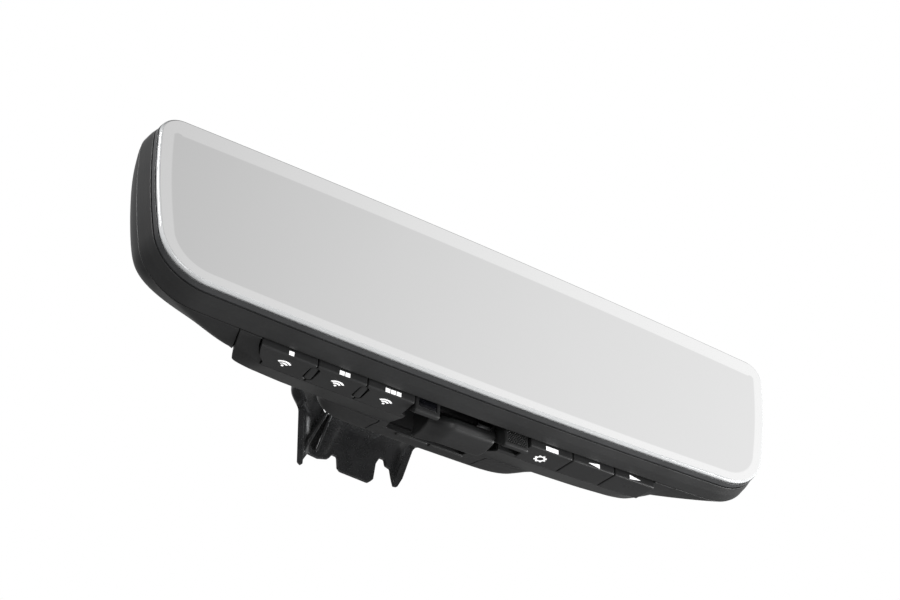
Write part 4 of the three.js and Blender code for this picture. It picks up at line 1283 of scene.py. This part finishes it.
@dataclass
class Key:
    """One hinged key with its printed marks."""

    node: str
    body: str
    mark: Mark

    front_y: float = 10.4
    rear_y: float = 20.8
    base: float = -36.5
    slope: float = 0.1
    wall: float = 2.0
    ink: float = 0.08

    def section(self) -> Array:
        """Side profile of the key: a front face, a round lower edge and a level underside."""
        y0, y1, base = self.front_y, self.rear_y, self.base
        rear = base + self.slope * (y1 - y0 - 2)
        return soften([(y0, base + 5, 0.55), (y0, base - 0.1, 0.6), (y1, rear, 0.3),
                       (y1, rear + self.wall, 0.3), (y0 + 3, base + 0.2 + self.wall, 0.5),
                       (y0 + 1.9, base + 5, 0.55)], 6)

    def underside(self, x: Array, y: Array) -> Array:
        """Height of the key's underside."""
        rise = self.slope * (self.rear_y - self.front_y - 2) + 0.1
        part = (y - self.front_y) / (self.rear_y - self.front_y)
        return self.base - 0.1 + rise * part + underside_lift(x)

    @staticmethod
    def left_slot(first: float, gap: float, far: float) -> Array:
        """Outline left of the curve that bounds the first key, moved left by a gap."""
        curve = [(0.0, 9.0), (0.1, 10.6), (0.8, 13.6), (2.0, 16.4), (4.0, 18.8), (4.4, 21.6)]
        side = [(first + x - gap, y + gap * 0.4, 1.2) for x, y in curve]
        return soften([(far, 9.0, 0.1), *side, (far, 21.6, 0.1)], 4)

    def ink_below(self, name: str, outline: Array) -> bpy.types.Object:
        """Thin layer of ink that follows the underside, from an outline in X and Y."""
        x, y = outline.T
        level = self.underside(x, y)
        rings = np.array([np.stack([x, y, level + INK_DEPTH], axis=1),
                          np.stack([x, y, level - self.ink], axis=1)])
        return loft(name, rings, HEAD)

    def marks(self, middle: float) -> list[bpy.types.Object]:
        """The marks on the key's front face and on its underside."""
        low = self.base + 0.25 + float(underside_lift(np.array(middle)))
        front = self.front_y

        def patch(outline: Array) -> bpy.types.Object:
            return prism("ink", outline, front - self.ink, front + INK_DEPTH, HEAD)

        pieces = []
        squares = {Mark.ONE: 1, Mark.TWO: 2, Mark.THREE: 3}
        if self.mark in squares:
            count = squares[self.mark]
            for i in range(count):
                x = middle + 0.5 + (i - (count - 1) / 2) * 2.0
                pieces.append(patch(oblong(0.85, 0.75, 0.05, (x, low + 0.85))))
            for outline in signal_icon(1.3):
                placed = outline * (1, -1) + (middle + 0.3, 15.6)
                pieces.append(self.ink_below("ink", placed))
        elif self.mark is Mark.MENU:
            pieces.append(patch(oblong(2.5, 0.8, 0.05, (middle, low + 0.85))))
            for outline in gear_icon(1.4):
                pieces.append(self.ink_below("ink", outline + (middle - 1.0, 16.2)))
        else:
            way = -1 if self.mark is Mark.LEFT else 1
            tip = polygon([(middle - way * 2.3, low + 0.1), (middle - way * 2.3, low + 1.75),
                           (middle + way * 2.5, low + 0.9)], 0.05)
            pieces.append(patch(tip))
        return pieces

    def build(self, dividers: Sequence[tuple[float, float, float]]) -> None:
        """Make and dress the key and its marks.

        Args:
            dividers: X, first Y and last Y of each divider that the key clears.
        """
        low, high = HEAD.box(self.node)
        key = carried(f"{self.node}_cap", self.section(), (low[0], high[0]), HEAD, 0.3,
                      underside_lift, 8)
        if self.mark is Mark.ONE:
            combine(key, [prism("side", self.left_slot(low[0], 0.0, -84), CUT_LOW, CUT_HIGH,
                                HEAD, Along.HEIGHT)])
        for x, first, last in dividers:
            if low[0] - 1 < x < high[0] + 1:
                clear = oblong(1.72, (last - first) / 2 + 0.45, 1.5, (x, (first + last) / 2))
                combine(key, [prism("clear", clear, CUT_LOW, CUT_HIGH, HEAD, Along.HEIGHT)])
        middle = (low[0] + high[0]) / 2
        rib = prism("rib", oblong(1.2, 0.8, 0.2, (middle, 14.8)), -35.4, -30.2, HEAD,
                    Along.HEIGHT)
        whole = merge(f"{self.node}_cap", [key, rib])
        dress(whole, KEYCAP)
        settle(whole, self.body, "casing", self.node)
        ink = merge(f"{self.node}_mark", self.marks(middle))
        # the marks' material adds a painted glow to the printed ink
        dress(ink, INK_WITH_PAINTED_GLOW)
        settle(ink, self.body, "diffuser")


@dataclass
class KeyRow:
    """The six keys and the two divider ribs between the keys on the left."""

    keys: tuple = (Key("home_key_1", "home_button_1", Mark.ONE),
                   Key("home_key_2", "home_button_2", Mark.TWO),
                   Key("home_key_3", "home_button_3", Mark.THREE),
                   Key("menu_key", "menu_button", Mark.MENU),
                   Key("left_key", "left_button", Mark.LEFT),
                   Key("right_key", "right_button", Mark.RIGHT))

    def build(self) -> None:
        """Make the keys, then the ribs."""
        dividers = []
        for name in ("key_divider_1", "key_divider_2"):
            low, high = HEAD.box(name)
            middle, half = HEAD.middle(name)
            dividers.append((middle[0], low[1], high[1]))
            plan = oblong(half[0], half[1], 1.1, (middle[0], middle[1]))
            rib = prism(f"{name}_rib", plan, low[2] - 0.05, high[2], HEAD, Along.HEIGHT, 0.3)
            dress(rib, CASING)
            settle(rib, "head", "casing", name)
        for key in self.keys:
            key.build(dividers)


# ---- sensor, microphone and lever ---------------------------------------------------------------
@dataclass
class SensorBlock:
    """Light sensor housing with a dark window in its front face."""

    front_y: float = 11.0
    edge: float = 0.45
    gap: float = 0.12
    pane: tuple = (11.1, 11.95)

    def build(self) -> None:
        """Make and dress the block and the window."""
        low, high = HEAD.box("sensor_block")
        front = self.front_y
        section = soften([(front, -31, 0.5), (front, low[2] + 0.1, 0.9), (12.6, low[2], 1.4),
                          (16, -35.4, 2.5), (19.4, -32.2, 0.6), (19.4, -29.6, 0.5),
                          (17, -29.6, 0.2), (17, -27.2, 0.5), (13, -27.2, 0.5), (13, -31, 0.2)])
        block = carried("sensor_housing", section, (low[0], high[0]), HEAD, self.edge)
        (x, _, z), (half_x, _, half_z) = HEAD.middle("sensor_window")
        pocket = oblong(half_x + self.gap, half_z + self.gap, 0.5, (x, z))
        combine(block, [prism("pocket", pocket, 9, 12.1, HEAD)])
        dress(block, KEYCAP)
        settle(block, "head", "casing", "sensor_block")
        pane = prism("sensor_pane", oblong(half_x, half_z, 0.5, (x, z)), *self.pane, HEAD,
                     Along.DEPTH, 0.12)
        dress(pane, LENS)
        settle(pane, "head", "lens", "sensor_window")


@dataclass
class Microphone:
    """Microphone housing whose front is a fine grid of holes, with the capsule behind it."""

    hole: float = 0.27
    pitch: float = 0.82
    columns: int = 9
    rows: int = 7
    first_row: float = -37.3
    row_ratio: float = 0.87

    def build(self) -> None:
        """Make and dress the housing and the capsule."""
        low, high = HEAD.box("microphone_grille")
        section = soften([(11, -31, 0.65), (11, low[2] + 0.2, 0.9), (12.6, low[2], 1.2),
                          (19, -33.6, 3.0), (19, -29.6, 0.65), (17, -29.6, 0.2),
                          (17, -27.2, 0.65), (13, -27.2, 0.65), (13, -31, 0.2)])
        body = carried("microphone_housing", section, (low[0], high[0]), HEAD, 0.6)
        room = carried("room", polygon([(12.0, -37.6), (15.6, -35.2), (15.6, -30), (12.0, -31.2)],
                                       0.35), (low[0] + 1.0, high[0] - 1.0), HEAD, 0.3)
        combine(body, [room])
        middle = (low[0] + high[0]) / 2
        holes = []
        for row in range(self.rows):
            for column in range(self.columns):
                x = middle + (column - (self.columns - 1) / 2 + (row % 2) / 2 - 0.25) * self.pitch
                z = self.first_row + row * self.pitch * self.row_ratio
                holes.append(prism("hole", oblong(self.hole, self.hole, self.hole * 0.98, (x, z),
                                                  3), 10, 12.6, HEAD))
        combine(body, [merge("holes", holes)])
        dress(body, KEYCAP)
        settle(body, "head", "casing", "microphone_grille")
        centre, (radius, _, _) = HEAD.middle("microphone_capsule")
        profile = soften([(AXIS, 12.6, 0.01), (radius, 12.6, 0.25), (radius, 14.6, 0.15),
                          (AXIS, 14.6, 0.01)], 4)
        capsule = turned("microphone_insert", profile, (centre[0], 0, centre[2]), HEAD)
        dress(capsule, STEEL)
        settle(capsule, "head", "steel", "microphone_capsule")


@dataclass
class DimmingLever:
    """Paddle on a pin under the middle of the head, which tips the glass for night driving."""

    pin: tuple = (25.0, -24.0)
    hub_radius: float = 3.1
    eye_radius: float = 1.3
    scoop_lift: float = 2.4
    scoop_back: float = 4.6
    right_rise: float = 0.0035

    def section(self) -> Array:
        """Side profile: a rounded nose, a shallow underside and a thin rear lip."""
        return soften([(15.8, -32.4, 1.0), (15.2, -34.6, 1.6), (16.6, -36.6, 1.9),
                       (21.5, -37.15, 5.0), (26.4, -36.5, 2.0), (27.8, -35.2, 0.75),
                       (27.4, -33.6, 0.75), (26.4, -32.6, 0.8), (26.8, -28, 0.8),
                       (24.2, -26, 0.8), (21.8, -28, 0.8), (21.2, -30.4, 1.2)], 7)

    def swept(self, x: Array) -> Array:
        """Share of the sweep at the left end, where the paddle turns back into a finger scoop."""
        part = np.clip((-3.5 - x) / 8.0, 0, 1)
        return part ** 2 * (3 - 2 * part)

    def rise(self, x: Array) -> Array:
        """Height added along the paddle: the scoop's, and a slow square rise to the right."""
        return self.scoop_lift * self.swept(x) + self.right_rise * np.clip(x - 2, 0, None) ** 2

    def about_pin(self, radius: float) -> Array:
        """Circle about the pin in Y and Z."""
        angle = np.linspace(0, 2 * math.pi, 48, endpoint=False)
        return np.stack([self.pin[0] + radius * np.cos(angle),
                         self.pin[1] + radius * np.sin(angle)], axis=1)

    def build(self) -> None:
        """Make and dress the lever."""
        low, high = HEAD.box("dimming_lever")
        paddle = carried("lever_paddle", self.section(), (low[0], high[0]), HEAD, 0.7,
                         self.rise, 26, lambda x: self.scoop_back * self.swept(x))
        hub = carried("lever_hub", self.about_pin(self.hub_radius), (-9, 9), HEAD, 0.3)
        web = carried("lever_web", polygon([(23, -30), (23, -24), (27, -24), (27, -30)], 0.2),
                      (-8, 8), HEAD, 0.2)
        combine(paddle, [web, hub], Joining.ADD)
        combine(paddle, [carried("lever_eye", self.about_pin(self.eye_radius), (-20, 20), HEAD,
                                 0.01)])
        dress(paddle, CASING)
        settle(paddle, "lever", "casing", "dimming_lever")


# ---- mount --------------------------------------------------------------------------------------
EAR_X = 18.4    # where the bracket's ears take the shroud's screws


@dataclass
class Shroud:
    """Cable shroud: a channel open to the front, wider round the bracket, ragged below."""

    wall: float = 1.9
    rear_y: float = -1.9
    front_y: float = -14.2
    bottom: float = -44.0
    top: float = 25.0
    corner: float = 8.0
    hem: tuple = ((-19.6, -60, 0.1), (-19.6, -41.8, 0.5), (-17.4, -37.7, 0.8), (-12.7, -38.3, 1.5),
                  (-8.6, -37.3, 0.8), (-7.2, -34.9, 0.8), (-4.9, -35.3, 0.8), (-3.8, -39.6, 0.8),
                  (-2.4, -40.6, 0.8), (10.3, -41.4, 1.2), (11.8, -39.6, 0.8), (11.7, -33.0, 0.8),
                  (13.0, -29.9, 1.0), (15.3, -29.9, 0.8), (16.3, -32.3, 0.8), (18.6, -33.0, 0.6),
                  (20.9, -39.9, 0.4), (22.2, -40.0, 0.4), (26.8, -28.7, 0.4), (40, -28.7, 0.1),
                  (40, -60, 0.1))
    hem_shift: tuple = (-0.53, -0.47)
    window_half: float = 15.6
    cut_x: float = 18.4
    cut_top: float = -22.0

    def half(self, z: Array) -> Array:
        """Half-width at each height: an even taper, then a step out round the bracket."""
        step = np.clip((z + 24) / 7, 0, 1)
        smooth = step * step * (3 - 2 * step)
        return np.minimum(23.6 + 0.187 * (z - self.bottom) + smooth * 3.4, 34.5)

    def form(self, name: str, inset: float) -> bpy.types.Object:
        """Rounded rectangle at each height, smaller all round by the inset."""
        height = np.concatenate([[self.bottom], np.arange(-43, 25, 1.0), [self.top]])
        front = self.front_y - (15 if inset else 12)
        rings = []
        for z in height:
            half = float(self.half(np.array(z))) - inset
            middle, depth = (front + self.rear_y - inset) / 2, (self.rear_y - inset - front) / 2
            plan = oblong(half, depth, self.corner - inset * 0.8, (0, middle), 12)
            rings.append(np.column_stack([plan, np.full(len(plan), z)]))
        stack = np.array(rings)
        if inset:
            stack[0, :, 2] -= 1
            stack[-1, :, 2] += 1
        return loft(name, stack, MOUNT)

    def build(self) -> None:
        """Make and dress the shroud."""
        shroud = combine(self.form("cable_cover", 0.0), [self.form("hollow", self.wall)])
        half_x = self.window_half
        window = soften([(-half_x, -20, 2.0), (half_x, -20, 2.0), (half_x, 40, 0.1),
                         (-half_x, 40, 0.1)])
        open_side = polygon([(-60, -60), (60, -60), (60, 60), (-60, 60)], 0.1)
        shift_x, shift_z = self.hem_shift
        hem = soften([(x + shift_x, z + shift_z, radius) for x, z, radius in self.hem], 3)
        combine(shroud, [prism("open_side", open_side, -60, self.front_y, MOUNT)])
        combine(shroud, [prism("hem", hem, -17.3, 0.71, MOUNT)])
        combine(shroud, [prism("window", window, -10.3, 2.1, MOUNT)])
        for side in (-1, 1):
            near, far = side * self.cut_x, side * 36
            corner = [(near, -60, 0.1), (far, -60, 0.1), (far, self.cut_top, 1.0),
                      (near, self.cut_top, 1.0)]
            combine(shroud, [prism("cut", soften(corner), -20, -5 - (side < 0), MOUNT)])
            hole = prism("hole", disc(1.6, (side * EAR_X, 0)), -6, 2, MOUNT)
            combine(shroud, [hole])
        ribs = [self.rib(-20.6, -14.0, -20, -39), self.rib(-15.2, -11.0, -14, -36.5)]
        whole = merge("cable_cover", [shroud, *ribs])
        dress(whole, GLOSS)
        settle(whole, "mount", "gloss_black", "cable_shroud")

    def rib(self, foot_x: float, top_x: float, top: float, foot: float) -> bpy.types.Object:
        """Slanting rib on the inside of the back wall, from its foot up to its top."""
        outline = soften([(foot_x - 0.6, foot, 0.4), (foot_x + 0.6, foot, 0.4),
                          (top_x + 0.6, top, 0.4), (top_x - 0.6, top, 0.4)], 4)
        back = self.rear_y - self.wall
        return prism("rib", outline, back - 1.6, back + 0.5, MOUNT, Along.DEPTH, 0.35)


@dataclass
class Arm:
    """Cast arm from the ball stud up to the bracket, with its bolted flange."""

    radius: float = 6.2
    steps: int = 40
    ball: tuple = (40.0, 4.0)
    pad: tuple = (99.0, 34.0)
    neck_length: float = 15.2

    def build(self) -> None:
        """Sweep a round section along a smooth curve and join the flange to it.

        The path is a cubic curve between the stud's shoulder and the flange, level at its start
        and along the flange's direction at its end.
        """
        tilt = MOUNT.lean
        pad = np.array(self.pad)

        def from_mount(y: float, z: float) -> Array:
            return pad + np.array([math.cos(tilt) * y - math.sin(tilt) * z,
                                   math.sin(tilt) * y + math.cos(tilt) * z])

        start = np.array([self.ball[0] + self.neck_length + 0.3, self.ball[1]])
        handles = [start, start + (13, 0), from_mount(-30.3, -6), from_mount(-19.3, -6)]
        t = np.linspace(0, 1, self.steps)[:, None]
        weights = [(1 - t) ** 3, 3 * t * (1 - t) ** 2, 3 * t ** 2 * (1 - t), t ** 3]
        path = sum(w * h for w, h in zip(weights, handles))
        tangent = unit(np.gradient(path, axis=0))
        normal = np.stack([-tangent[:, 1], tangent[:, 0]], axis=1)
        angle = np.linspace(0, 2 * math.pi, 48, endpoint=False)
        ease = 1 + 0.12 * np.cos(np.linspace(0, 2 * math.pi, self.steps)) - 0.12
        across = np.cos(angle)[None] * self.radius * ease[:, None]
        upward = np.sin(angle)[None] * self.radius * ease[:, None]
        rings = np.stack([across, path[:, 0][:, None] + normal[:, 0][:, None] * upward,
                          path[:, 1][:, None] + normal[:, 1][:, None] * upward], axis=-1)
        arm = loft("cast_arm", rings, HEAD)
        flange = prism("flange", oblong(14.5, 9, 3, (0, -6)), -20.3, -16.7, MOUNT, Along.DEPTH,
                       0.5)
        combine(arm, [flange], Joining.ADD)
        holes = [prism("hole", disc(1.8, (side * ARM_SCREW_X, ARM_SCREW_Z)), -24, -14, MOUNT)
                 for side in (-1, 1)]
        combine(arm, [merge("holes", holes)])
        bore = turned("bore", soften([(AXIS, 54, 0.01), (2.9, 54, 0.1), (2.9, 61.4, 0.1),
                                      (AXIS, 61.4, 0.01)], 2), (0, 0, self.ball[1]), HEAD, 40)
        combine(arm, [bore])
        dress(arm, GLOSS)
        settle(arm, "mount", "gloss_black", "mount_arm")


@dataclass
class Bracket:
    """Cast bracket on the windshield button, with ears for the shroud's screws."""

    half_x: float = 15.0
    half_z: float = 19.0
    front_y: float = -16.4
    rear_y: float = -1.2

    def build(self) -> None:
        """Make and dress the bracket and the button."""
        low, high = MOUNT.box("windshield_button")
        body = prism("bracket_casting", oblong(self.half_x, self.half_z, 3), self.front_y,
                     self.rear_y, MOUNT, Along.DEPTH, 0.8)
        ears = prism("ears", oblong(21.6, 4.4, 3), -9, -5, MOUNT, Along.DEPTH, 0.4)
        combine(body, [ears], Joining.ADD)
        seat = polygon([(low[0] - 0.3, low[2] - 0.3), (high[0] + 0.3, low[2] - 0.3),
                        (high[0] + 0.3, 24), (low[0] - 0.3, 24)], 2.0)
        combine(body, [prism("seat", seat, low[1] - 0.3, 2, MOUNT)])
        bores = [prism("bore", disc(2.3, (0, 9)), -18, 0, MOUNT)]
        for side in (-1, 1):
            bores.append(prism("bore", disc(1.8, (side * ARM_SCREW_X, ARM_SCREW_Z)), -18, -8,
                               MOUNT))
            bores.append(prism("bore", disc(1.3, (side * EAR_X, 0)), -10, -4, MOUNT))
        combine(body, [merge("bores", bores)])
        dress(body, ALUMINIUM)
        settle(body, "mount", "aluminium", "windshield_bracket")
        button = prism("glass_button", oblong((high[0] - low[0]) / 2, (high[2] - low[2]) / 2, 4),
                       low[1], high[1], MOUNT, Along.DEPTH, 0.35)
        dress(button, STEEL)
        settle(button, "mount", "steel", "windshield_button")


@dataclass
class RearFittings:
    """Harness connector, its contacts, and the forward light lens in the rear shell."""

    pins: int = 6
    pin_pitch: float = 2.2
    pin_row: float = 1.6
    wall: float = 1.2
    lens_rim: float = 41.2
    lens_crown: float = 1.6

    def build(self) -> None:
        """Make and dress the connector, the contacts and the lens."""
        low, high = HEAD.box("harness_connector")
        (x, _, z), (half_x, _, half_z) = HEAD.middle("harness_connector")
        shell = prism("harness_socket_shell", oblong(half_x, half_z, 1.2, (x, z)), low[1],
                      high[1], HEAD, Along.DEPTH, 0.25)
        room = oblong(half_x - self.wall, half_z - self.wall, 0.6, (x, z))
        hollow = prism("hollow", room, 33, 50, HEAD)
        combine(shell, [hollow])
        contacts = []
        for row in (-1, 1):
            for column in range(self.pins):
                place = (x + (column - (self.pins - 1) / 2) * self.pin_pitch,
                         z + row * self.pin_row)
                contacts.append(prism("contact", oblong(0.32, 0.32, 0.1, place), 32.5, 40.5,
                                      HEAD, Along.DEPTH, 0.08))
        dress(shell, INNER)
        settle(shell, "head", "connector", "harness_connector")
        pins = merge("harness_contacts", contacts)
        dress(pins, BRIGHT)
        settle(pins, "head", "steel")
        centre, (radius, _, _) = HEAD.middle("forward_light_lens")
        angle = np.linspace(0, math.pi / 2, 12)
        crown = np.stack([radius * np.cos(angle),
                          self.lens_rim + self.lens_crown * np.sin(angle)], axis=1)
        crown[-1, 0] = AXIS
        profile = np.concatenate([[[AXIS, 36.0], [radius - 0.2, 36.0], [radius, 36.2]], crown])
        lens = turned("forward_lens", profile, (centre[0], 0, centre[2]), HEAD)
        dress(lens, LENS)
        settle(lens, "head", "lens", "forward_light_lens")


@dataclass
class BallJoint:
    """Ball stud, nylon liner and retaining ring; the pressed cup around the ball keeps its CAD
    shape.
    """

    centre: tuple = (0.0, 40.0, 4.0)
    radius: float = 8.0
    neck: float = 3.2
    liner: tuple = (8.25, 9.6, 45, 140)
    ring: tuple = (9.95, 11.5, 48, 92)

    def sphere(self, radius: float, first: float, last: float, steps: int) -> Array:
        """Arc of a sphere's section: radius and depth at polar angles measured from +Y."""
        angle = np.radians(np.linspace(first, last, steps))
        return np.stack([radius * np.sin(angle), radius * np.cos(angle)], axis=1)

    def shell(self, name: str, inner: float, outer: float, first: float,
              last: float) -> bpy.types.Object:
        """Ring cut from a hollow sphere between two polar angles."""
        profile = np.concatenate([self.sphere(inner, first, last, 16),
                                  self.sphere(outer, last, first, 16)])
        return turned(name, profile, self.centre, HEAD, 72)

    def build(self) -> None:
        """Make and dress the stud, the liner and the ring."""
        neck_angle = math.degrees(math.asin(self.neck / self.radius))
        ball = self.sphere(self.radius, 180, neck_angle, 28)
        ball[0, 0] = AXIS
        shank = np.array([[self.neck, ball[-1, 1] + 0.6], [self.neck, 14.9], [2.9, 15.2],
                          [2.6, 15.25], [2.6, 20.7], [2.3, 21.0], [AXIS, 21.0]])
        stud = turned("ball_pin", np.concatenate([ball, shank]), self.centre, HEAD, 72)
        dress(stud, BRIGHT)
        settle(stud, "mount", "steel", "ball_stud")
        liner = self.shell("liner_cup", *self.liner)
        dress(liner, NYLON)
        settle(liner, "liner", "nylon", "ball_liner")
        ring = self.shell("spring_ring", *self.ring)
        dress(ring, STEEL)
        settle(ring, "ring", "steel", "retaining_ring")


class InnerWorks:
    """CAD nodes that stay as they are and only get a better finish."""

    finishes: dict[str, Finish] = {
        "rear_glass": REAR_GLASS, "lcd_panel": PANEL, "backlight_diffuser": DIFFUSER,
        "display_tray": ALUMINIUM, "main_board": BOARD, "switch_board": BOARD,
        "shield_can": STEEL, "board_screw": STEEL, "key_switch": INNER, "lever_pin": STEEL,
        "detent_spring": BRIGHT, "socket_cup": STEEL, "socket_screw": STEEL,
        "arm_screw": STEEL, "set_screw": STEEL, "shroud_screw": STEEL,
    }

    def build(self) -> None:
        """Give every kept node the finish whose name starts its own."""
        for name, node in frame["nodes"].items():
            for start, finish in self.finishes.items():
                if name.startswith(start):
                    node.data.materials.clear()
                    node.data.materials.append(PALETTE.get(finish))
                    LOG.info("%-22s keeps its CAD shape", name)


# ---- studio -------------------------------------------------------------------------------------
@dataclass
class Studio:
    """Pale floor, a bright tent of light round the object, and soft lamps."""

    floor_z: float = -0.62
    floor_radius: float = 3.0
    across: tuple = ((0.0, 0.34), (0.3, 0.40), (0.5, 0.58), (0.57, 0.70), (0.81, 1.06),
                     (1.0, 1.2))
    brightest: float = 1.25
    below: float = 0.4
    rear_dark: float = 0.85
    lamps: tuple = (
        ("low_right_lamp", (0.75, -0.35, -0.48), (0.03, -0.06, -0.06), 0.5, 11.0),
        ("high_left_lamp", (-0.8, -0.28, 0.38), (0.02, -0.01, -0.04), 0.3, 6.0),
        ("low_left_lamp", (-0.5, -0.9, -0.35), (-0.05, -0.03, -0.06), 0.4, 2.5))

    def world(self) -> None:
        """Tent of light: brightness follows the direction's X, and falls off downwards.

        What the camera sees directly is plain white.
        """
        world = bpy.data.worlds.new("tent")
        bpy.context.scene.world = world
        world.use_nodes = True
        tree = world.node_tree
        tree.nodes.clear()
        add, link = tree.nodes.new, tree.links.new
        direction, parts = add("ShaderNodeTexCoord"), add("ShaderNodeSeparateXYZ")
        link(direction.outputs["Generated"], parts.inputs[0])
        shift = add("ShaderNodeMapRange")
        shift.inputs["From Min"].default_value = -1.0
        shift.inputs["From Max"].default_value = 1.0
        link(parts.outputs["X"], shift.inputs["Value"])
        ramp = add("ShaderNodeFloatCurve")
        curve = ramp.mapping.curves[0]
        while len(curve.points) < len(self.across):
            curve.points.new(0.5, 0.5)
        for point, (place, value) in zip(curve.points, self.across):
            point.location = (place, value / self.brightest)
        ramp.mapping.update()
        link(shift.outputs["Result"], ramp.inputs["Value"])
        fall = add("ShaderNodeMapRange")
        fall.interpolation_type = "SMOOTHSTEP"
        for socket, value in (("From Min", -0.6), ("From Max", 0.35), ("To Min", self.below),
                              ("To Max", self.brightest)):
            fall.inputs[socket].default_value = value
        link(parts.outputs["Z"], fall.inputs["Value"])
        product = add("ShaderNodeMath")
        product.operation = "MULTIPLY"
        link(ramp.outputs["Value"], product.inputs[0])
        link(fall.outputs["Result"], product.inputs[1])
        behind, low_down = add("ShaderNodeMapRange"), add("ShaderNodeMapRange")
        for node, source, limits in ((behind, "Y", (0.05, 0.6, 0.0, self.rear_dark)),
                                     (low_down, "Z", (0.15, 0.6, 1.0, 0.0))):
            node.interpolation_type = "SMOOTHSTEP"
            for socket, value in zip(("From Min", "From Max", "To Min", "To Max"), limits):
                node.inputs[socket].default_value = value
            link(parts.outputs[source], node.inputs["Value"])
        shadow, rest, dimmed = (add("ShaderNodeMath") for _ in range(3))
        shadow.operation, rest.operation, dimmed.operation = "MULTIPLY", "SUBTRACT", "MULTIPLY"
        link(behind.outputs["Result"], shadow.inputs[0])
        link(low_down.outputs["Result"], shadow.inputs[1])
        rest.inputs[0].default_value = 1.0
        link(shadow.outputs[0], rest.inputs[1])
        link(product.outputs[0], dimmed.inputs[0])
        link(rest.outputs[0], dimmed.inputs[1])
        tent, white = add("ShaderNodeBackground"), add("ShaderNodeBackground")
        link(dimmed.outputs[0], tent.inputs["Strength"])
        white.inputs["Strength"].default_value = 1.0
        for background in (tent, white):
            background.inputs["Color"].default_value = (1, 1, 1, 1)
        seen, choose = add("ShaderNodeLightPath"), add("ShaderNodeMixShader")
        out = add("ShaderNodeOutputWorld")
        link(seen.outputs["Is Camera Ray"], choose.inputs["Fac"])
        link(tent.outputs[0], choose.inputs[1])
        link(white.outputs[0], choose.inputs[2])
        link(choose.outputs[0], out.inputs["Surface"])

    def floor(self) -> None:
        """Round pale floor, well below the object, darker to reflected light."""
        angle = np.linspace(0, 2 * math.pi, 96, endpoint=False)
        rings = [np.stack([r * np.cos(angle), r * np.sin(angle), 0 * angle + z], axis=1)
                 for r, z in ((0.002, 0.0), (self.floor_radius, 0.0), (self.floor_radius, -0.02),
                              (0.002, -0.02))]
        points = np.array(rings) / MM
        axes = Axes((0.0, 0.0, self.floor_z))
        floor = loft("studio_floor", points, axes, closed=True)
        nodes = NodeTree("floor_paint")
        cloud = nodes.noise(3.0, 2.0)
        seen = nodes.add("ShaderNodeLightPath")
        nodes.tint(cloud, "Fac", (0.84, 0.84, 0.84), (0.86, 0.86, 0.86))
        dark = nodes.add("ShaderNodeMix", data_type="RGBA")
        dark.inputs["A"].default_value = (0.34, 0.34, 0.34, 1)
        pale = nodes.shader.inputs["Base Color"].links[0].from_socket
        nodes.tree.links.new(pale, dark.inputs["B"])
        nodes.join(seen, "Is Camera Ray", dark, "Factor")
        nodes.tree.links.new(dark.outputs["Result"], nodes.shader.inputs["Base Color"])
        nodes.surface(specular=0.2, roughness=0.8)
        floor.data.materials.append(nodes.material)

    def lamp(self, name: str, place: tuple, aim: tuple, size: float, power: float) -> None:
        """Add a square soft lamp that faces a place."""
        data = bpy.data.lights.new(name, "AREA")
        data.size = size
        data.energy = power
        lamp = bpy.data.objects.new(name, data)
        bpy.context.scene.collection.objects.link(lamp)
        lamp.location = place
        lamp.rotation_euler = (Vector(aim) - Vector(place)).to_track_quat("-Z", "Y").to_euler()
        lamp.visible_camera = False

    def build(self) -> None:
        """Set the world, the floor and the lamps."""
        self.world()
        self.floor()
        for lamp in self.lamps:
            self.lamp(*lamp)


@dataclass
class Viewpoint:
    """Camera from below left, in front of the glass."""

    aim: tuple = (-14.47, 3.79, 5.60)
    distance: float = 430.0
    azimuth: float = 30.09
    elevation: float = 39.32
    roll: float = -1.91
    lens: float = 50.31

    def build(self) -> None:
        """Place the camera at the distance behind its aim, along its direction, and roll it."""
        az, el, roll = (math.radians(a) for a in (self.azimuth, self.elevation, self.roll))
        forward = Vector((math.sin(az) * math.cos(el), math.cos(az) * math.cos(el),
                          math.sin(el)))
        right = forward.cross(Vector((0, 0, 1))).normalized()
        up = right.cross(forward)
        right, up = (right * math.cos(roll) - up * math.sin(roll),
                     up * math.cos(roll) + right * math.sin(roll))
        aim = Vector(HEAD.to_frame(np.array(self.aim)))
        data = bpy.data.cameras.new("camera")
        data.lens = self.lens
        data.sensor_width = 36.0
        data.clip_start = 0.01
        data.dof.use_dof = False
        camera = bpy.data.objects.new("camera", data)
        bpy.context.scene.collection.objects.link(camera)
        turn = Matrix((right, up, -forward)).transposed().to_4x4()
        camera.matrix_world = Matrix.Translation(aim - forward * self.distance * MM) @ turn
        bpy.context.scene.camera = camera


def main() -> None:
    """Build the camera, the pieces and the studio."""
    logging.basicConfig(level=logging.INFO, format="%(message)s")
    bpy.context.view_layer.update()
    for part in (Viewpoint, GlassUnit, FrontCasing, RearHousing, LowerTrim, KeyRow, SensorBlock,
                 Microphone, DimmingLever, BallJoint, Arm, Bracket, Shroud, RearFittings,
                 InnerWorks, Studio):
        part().build()
    bpy.context.scene.view_settings.view_transform = "Standard"


if __name__ == "__main__":
    main()
